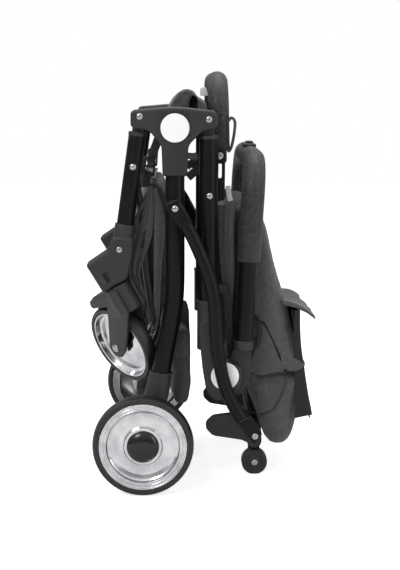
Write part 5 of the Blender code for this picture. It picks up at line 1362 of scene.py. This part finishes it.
def padPieces():
    x = handlePivot.x
    outline = [(x + 0.0010, 0.4150), (x + 0.0040, 0.4225), (x + 0.0200, 0.4235), (x + 0.0305, 0.4150),
               (x + 0.0315, 0.3500), (x + 0.0315, 0.2800), (x + 0.0300, 0.2150), (x + 0.0180, 0.2060),
               (x + 0.0060, 0.2090), (x + 0.0010, 0.2200), (x + 0.0010, 0.2800), (x + 0.0010, 0.3500)]
    mesh = swollen(pillow(outline, 0.1370, 0.0, 0.009), 0.004, 0.0046, 3.0)
    co, no = arrays(mesh)
    move = 0.0012 * wrinkles(co, (1.0, 0.6, 0.8), 0.026, 4) + 0.0004 * wrinkles(co, (1, 1, 0.5), 0.009, 5)
    front = ramp(-no[:, 0], 0.3, 0.8)
    for height in (0.255, 0.305, 0.355):
        move -= 0.0022 * groove(co[:, 2] - height, 0.0022) * front
    mesh = insideBox(shifted(mesh, move), "backrest_pad", 0.002)
    piece = add("backrest_cushion", mesh, seatAndShadeCloth, "handle", "backrest_pad", angle=60)
    outline = [(-0.0740, 0.4590), (-0.0880, 0.4400), (-0.0950, 0.4200), (-0.0990, 0.3900), (-0.1000, 0.3450),
               (-0.0915, 0.3000), (-0.0795, 0.2700), (-0.0715, 0.2550), (-0.0590, 0.2550), (-0.0580, 0.3000),
               (-0.0585, 0.3600), (-0.0580, 0.4200), (-0.0590, 0.4550)]
    mesh = swollen(pillow(outline, 0.1330, 0.003, 0.010), 0.005, 0.0046, 3.5)
    co = arrays(mesh)[0]
    move = 0.0014 * wrinkles(co, (1.0, 0.6, 0.6), 0.024, 7) + 0.0004 * wrinkles(co, (1, 1, 0.5), 0.009, 8)
    fold = [(-0.0840, 0.4400), (-0.0800, 0.3900), (-0.0790, 0.3400), (-0.0720, 0.2900), (-0.0690, 0.2560)]
    flank = ramp(np.abs(co[:, 1]), 0.105, 0.126)
    move -= 0.0055 * groove(nearLine(co, fold)[0], 0.0036) * flank
    for height in (0.300, 0.350, 0.400):
        move -= 0.0022 * groove(co[:, 2] - height, 0.0022) * (1 - flank)
    mesh = insideBox(shifted(mesh, move), "seat_pad", 0.002)
    piece = add("seat_cushion", mesh, seatAndShadeCloth, "seat", "seat_pad", angle=60)


def basketPieces():
    outline = [(-0.0635, 0.2300), (-0.0575, 0.2080), (-0.0490, 0.1900), (-0.0425, 0.1650), (-0.0440, 0.1280),
               (-0.0345, 0.1200), (-0.0245, 0.1250), (-0.0205, 0.1600), (-0.0215, 0.2270), (-0.0400, 0.2320)]
    mesh = swollen(pillow(outline, 0.1420, 0.0, 0.006), 0.004, 0.0042, 2.0)
    co = arrays(mesh)[0]
    co[:, 1] += 0.0055 * np.sign(co[:, 1]) * ramp(np.abs(co[:, 1]), 0.09, 0.14) * ramp(co[:, 2], 0.190, 0.205)
    mesh.vertices.foreach_set("co", co.ravel())
    mesh.update()
    move = 0.0020 * wrinkles(co, (1.6, 0.7, 0.35), 0.016, 11) + 0.0005 * wrinkles(co, (1, 1, 0.5), 0.008, 12)
    mesh = insideBox(shifted(mesh, move), "basket", 0.001)
    piece = add("basket_bag", mesh, seatAndShadeCloth, "frame", "basket", angle=60)


def seatTopPieces():
    outer = pathOf([(-0.0570, 0.5540), (-0.0530, 0.5620), (-0.0480, 0.5710), (-0.0435, 0.5785),
                    (-0.0347, 0.5885), (-0.0244, 0.5945), (-0.0156, 0.5930), (-0.0098, 0.5850),
                    (-0.0053, 0.5806), (0.0045, 0.5750), (0.0066, 0.5660), (0.0060, 0.5560)], 5)
    inner = pathOf([(-0.0040, 0.5560), (-0.0053, 0.5673), (-0.0068, 0.5795), (-0.0127, 0.5868),
                    (-0.0185, 0.5818), (-0.0218, 0.5687), (-0.0225, 0.5560)], 5)
    mesh = swollen(plate(outer + inner, -0.1445, 0.1445, 0.0030, 4), 0.0015, 0.0026, 1.5)
    co = arrays(mesh)[0]
    move = 0.0010 * wrinkles(co, (1.0, 0.5, 1.0), 0.018, 21) + 0.0003 * wrinkles(co, (1, 1, 1), 0.007, 22)
    fold = nearLine(co, [(-0.0420, 0.5620), (-0.0340, 0.5760), (-0.0240, 0.5870)])[0]
    move -= 0.0016 * groove(fold, 0.0030) * ramp(np.abs(co[:, 1]), 0.125, 0.140)
    piece = add("seat_top_band", shifted(mesh, move), canopyCloth, "frame", "seat_top_cloth", angle=60)
    # A near-black plate fills the inside of the arch: painted shade
    cavity = plate(inner, -0.1290, 0.1290, 0.0004, 2)
    piece = add("seat_top_painted_shade", cavity, nearBlackCloth, "frame", angle=40)
    corners = rounded([(-0.0030, 0.5850, 0.001), (-0.0035, 0.5965, 0.0035), (0.0050, 0.5985, 0.0035),
                       (0.0085, 0.5880, 0.003), (0.0080, 0.5850, 0.001)])
    add("seat_top_tab", plate(corners, -0.1190, -0.1178, 0.0004, 3), tagLook, "frame")


# A band on edge along a path in the side view, with its long edges raised a little
def strap(points, y, width, thickness, bow=0.0):
    w, t = width / 2, thickness / 2
    shape = [(-w, -t * 0.5), (-w + t * 0.5, -t), (-w * 0.5, -t * 0.9), (0.0, -t), (w * 0.5, -t * 0.9),
             (w - t * 0.5, -t), (w, -t * 0.5)]
    shape += [(a, -b) for a, b in reversed(shape)]
    route = pathOf(points, 8)
    rows = []
    last = len(route) - 1
    for index, p in enumerate(route):
        before = route[max(index - 1, 0)]
        after = route[min(index + 1, last)]
        way = (after - before).normalized()
        wide = Vector((-way.y, 0.0, way.x))
        centre = Vector((p.x, y + bow * sin(pi * index / last), p.y))
        rows.append([centre + wide * a + Vector((0.0, 1.0, 0.0)) * b for a, b in shape])
    return gridMesh(rows, wrapAlong=True, caps=True)


def harnessPieces():
    for side, tag in sides:
        y = side * 0.121
        upper = strap([(-0.0625, 0.5300), (-0.0690, 0.5120), (-0.0745, 0.4980), (-0.0765, 0.4860)], y, 0.0130,
                      0.0018, side * 0.002)
        lower = strap([(-0.0800, 0.4740), (-0.0830, 0.4660), (-0.0840, 0.4590), (-0.0825, 0.4500)], y, 0.0125,
                      0.0018)
        replaced = ["harness"] if tag == "l" else []
        add(f"harness_strap_{tag}", together(upper, lower), webbing, "seat", *replaced)
        frameRing = rounded([(-0.0868, 0.4950, 0.0035), (-0.0690, 0.4975, 0.0035), (-0.0710, 0.4655, 0.0035),
                             (-0.0880, 0.4640, 0.0035)])
        hole = rounded([(-0.0835, 0.4905, 0.002), (-0.0722, 0.4925, 0.002), (-0.0740, 0.4700, 0.002),
                        (-0.0848, 0.4690, 0.002)])
        ring = cut(plate(frameRing, y - 0.0040, y + 0.0040, 0.0014, 4),
                   plate(hole, y - 0.01, y + 0.01, 0.0002, 1))
        bar = block((-0.0860, y - 0.0030, 0.4800), (-0.0706, y + 0.0030, 0.4828), 0.0008)
        add(f"harness_buckle_{tag}", together(ring, bar), mouldedPlastic, "seat")
    cross = []
    for k in range(41):
        y = -0.1190 + 0.2380 * k / 40
        lift = 0.0006 * sin(k * 1.3)
        cross.append([Vector((px, y, 0.4610 + lift + pz)) for px, pz in
                      ((-0.0866, 0.0), (-0.0866, 0.0014), (-0.0780, 0.0018), (-0.0700, 0.0014),
                      (-0.0700, 0.0))])
    add("harness_cross_belt", gridMesh(cross, wrapAlong=True, caps=True), webbing, "seat")


def smallTrim():
    loop = strap([(0.0380, 0.5480), (0.0430, 0.5530), (0.0480, 0.5470), (0.0470, 0.5300), (0.0435, 0.5120),
                  (0.0395, 0.5040), (0.0375, 0.5080)], -0.132, 0.0042, 0.0090)
    add("bumper_loop", loop, webbing, "bumper")
    label = strap([(0.0377, 0.4535), (0.0392, 0.4430), (0.0418, 0.4310)], -0.1420, 0.0075, 0.0008)
    add("care_tag", label, tagLook, "handle")
    for side, tag in sides:
        high = strap([(-0.0215, 0.4640), (-0.0120, 0.4720), (-0.0030, 0.4790)], side * 0.1200, 0.0125, 0.0018)
        low = strap([(-0.0215, 0.4840), (-0.0100, 0.4830), (-0.0030, 0.4850)], side * 0.1120, 0.0110, 0.0018)
        add(f"inner_belt_{tag}", together(high, low), webbing, "frame")


# Loose cloth between two edges in the side view, in folds that run along them
def drape(name, left, right, y, folds, body):
    leftPath, rightPath = pathOf(left, 6), pathOf(right, 6)
    last = len(leftPath) - 1
    for side, tag in sides:
        rows = []
        for k in range(25):
            share = k / 24
            row = []
            for index, (p, q) in enumerate(zip(leftPath, rightPath)):
                spot = p.lerp(q, share)
                size = min(0.0016, 0.10 * (q - p).length)
                fade = min(1.0, 6 * share, 6 * (1 - share))
                depth = size * sin(share * folds * pi * 2 + 1.7 * index / last) * fade
                row.append(Vector((spot.x, side * (y + depth), spot.y)))
            rows.append(row)
        piece = add(f"{name}_{tag}", thick(gridMesh(rows), 0.0014), canopyCloth, body, angle=60)


def looseCloth():
    drape("seat_side_cloth",
          [(-0.0775, 0.4532), (-0.0820, 0.4384), (-0.0924, 0.4235), (-0.0999, 0.4057), (-0.1060, 0.3803),
           (-0.1121, 0.3503), (-0.1108, 0.3278), (-0.1040, 0.3111), (-0.0945, 0.2914), (-0.0865, 0.2717),
           (-0.0795, 0.2500), (-0.0762, 0.2380)],
          [(-0.0738, 0.4532), (-0.0731, 0.4384), (-0.0724, 0.4236), (-0.0725, 0.4057), (-0.0748, 0.3804),
           (-0.0838, 0.3504), (-0.0921, 0.3278), (-0.0927, 0.3111), (-0.0872, 0.2869), (-0.0824, 0.2686),
           (-0.0775, 0.2480), (-0.0752, 0.2370)],
          0.1462, 2.5, "seat")
    drape("seat_edge_cloth",
          [(-0.0745, 0.4503), (-0.0731, 0.4237), (-0.0717, 0.3954), (-0.0718, 0.3655), (-0.0719, 0.3400),
           (-0.0720, 0.3128), (-0.0721, 0.2870), (-0.0706, 0.2627), (-0.0692, 0.2367)],
          [(-0.0671, 0.4503), (-0.0598, 0.4237), (-0.0554, 0.3954), (-0.0570, 0.3655), (-0.0600, 0.3400),
           (-0.0615, 0.3128), (-0.0623, 0.2870), (-0.0639, 0.2627),
           (-0.0677, 0.2367)], 0.1437, 0.5, "seat")
    drape("backrest_edge_cloth",
          [(0.0231, 0.4254), (0.0232, 0.3956), (0.0249, 0.3657), (0.0265, 0.3401), (0.0297, 0.3099),
           (0.0328, 0.2826), (0.0360, 0.2521), (0.0377, 0.2245), (0.0408, 0.2014)],
          [(0.0497, 0.4254), (0.0470, 0.3956), (0.0472, 0.3657), (0.0481, 0.3402), (0.0476, 0.3099),
           (0.0456, 0.2826), (0.0450, 0.2521), (0.0452, 0.2245),
           (0.0446, 0.2014)], 0.1478, 2.5, "handle")


def gripSeam():
    route = []
    for place, axes in list(zip(gripRoute, frames(gripRoute)))[2:-2]:
        tangent = axes[0]
        inward = Vector((place.x, 0.0, 0.40)) - place
        inward -= tangent * inward.dot(tangent)
        if inward.length < 1e-6:
            continue
        route.append(place + inward.normalized() * 0.0172)
    stitches("grip_stitches", route, "upper_handle", 0.0046, 0.00045)


canopyPieces()
print("canopy made")
visorPieces()
bowPieces()
padPieces()
print("cushions made")
basketPieces()
seatTopPieces()
harnessPieces()
smallTrim()
looseCloth()
gripSeam()
print("soft goods made")


# Camera, lamps and backdrop

def aimed(data, place, target):
    made = bpy.data.objects.new(data.name, data)
    scene.collection.objects.link(made)
    made.location = place
    made.rotation_euler = (Vector(target) - made.location).to_track_quat("-Z", "Y").to_euler()


eye = bpy.data.cameras.new("photoCamera")
eye.lens = 77.94
eye.sensor_width = 36.0
eye.clip_start = 0.05
camera = bpy.data.objects.new("photoCamera", eye)
scene.collection.objects.link(camera)
cameraPlace = Matrix.Translation((-0.0382, -1.9693, 0.5977))
right = Vector((0.99984, -0.0176, 0.0028)).normalized()
back = right.cross(Vector((0.0, 0.1584, 0.9874)).normalized()).normalized()
up = back.cross(right)
camera.matrix_world = cameraPlace @ Matrix((right, up, back)).transposed().to_4x4()
scene.camera = camera

for name, place, size, energy in (("keyLamp", (-1.5, -2.2, 2.3), (1.2, 1.2), 46.0),
                                  ("fillLamp", (2.1, -1.5, 1.1), (1.0, 1.8), 15.0),
                                  ("topLamp", (0.2, 0.5, 2.4), (1.6, 1.6), 34.0)):
    light = bpy.data.lights.new(name, "AREA")
    light.shape = "RECTANGLE"
    light.size, light.size_y = size
    light.energy = energy
    aimed(light, place, (0.0, 0.0, 0.30))

# The camera sees white; glossy rays see a sky that darkens downwards; the rest gets a dim even light
world = bpy.data.worlds.new("softStudio")
world.use_nodes = True
scene.world = world
tree = world.node_tree
tree.nodes.clear()
rays = node(tree, "ShaderNodeLightPath").outputs
seen = maths(tree, "MAXIMUM", rays["Is Camera Ray"], rays["Is Transmission Ray"])
where = node(tree, "ShaderNodeSeparateXYZ", {0: node(tree, "ShaderNodeTexCoord").outputs["Generated"]})
sky = mixed(tree, span(tree, where.outputs[2], -0.1, 0.7, 0.0, 1.0), tint(0.22, 0.22, 0.225), grey(0.95))
ambient = mixed(tree, rays["Is Glossy Ray"], grey(0.34), sky)
backdrop = node(tree, "ShaderNodeBackground", {0: mixed(tree, seen, ambient, grey(1.0)), 1: 1.0})
node(tree, "ShaderNodeOutputWorld", {0: backdrop.outputs[0]})

floorLook = bpy.data.materials.new("paleFloor")
floorLook.use_nodes = True
tree = floorLook.node_tree
floorShader = tree.nodes["Principled BSDF"].inputs
for label, value in (("Base Color", grey(0.93)), ("Roughness", 0.75), ("Specular IOR Level", 0.2),
                     ("Emission Color", grey(1.0))):
    floorShader[label].default_value = value
rays = node(tree, "ShaderNodeLightPath").outputs
tree.links.new(maths(tree, "MULTIPLY", rays["Is Camera Ray"], 0.74), floorShader["Emission Strength"])
floorMesh = gridMesh([[Vector((x * 1.2, y * 1.2, 0.0)) for x in range(-5, 6)] for y in range(-5, 6)])
floorMesh.materials.append(floorLook)
floor = bpy.data.objects.new("floor", floorMesh)
scene.collection.objects.link(floor)
scene.view_settings.view_transform = "Standard"

bpy.data.collections.remove(workshop)
print("stage made")
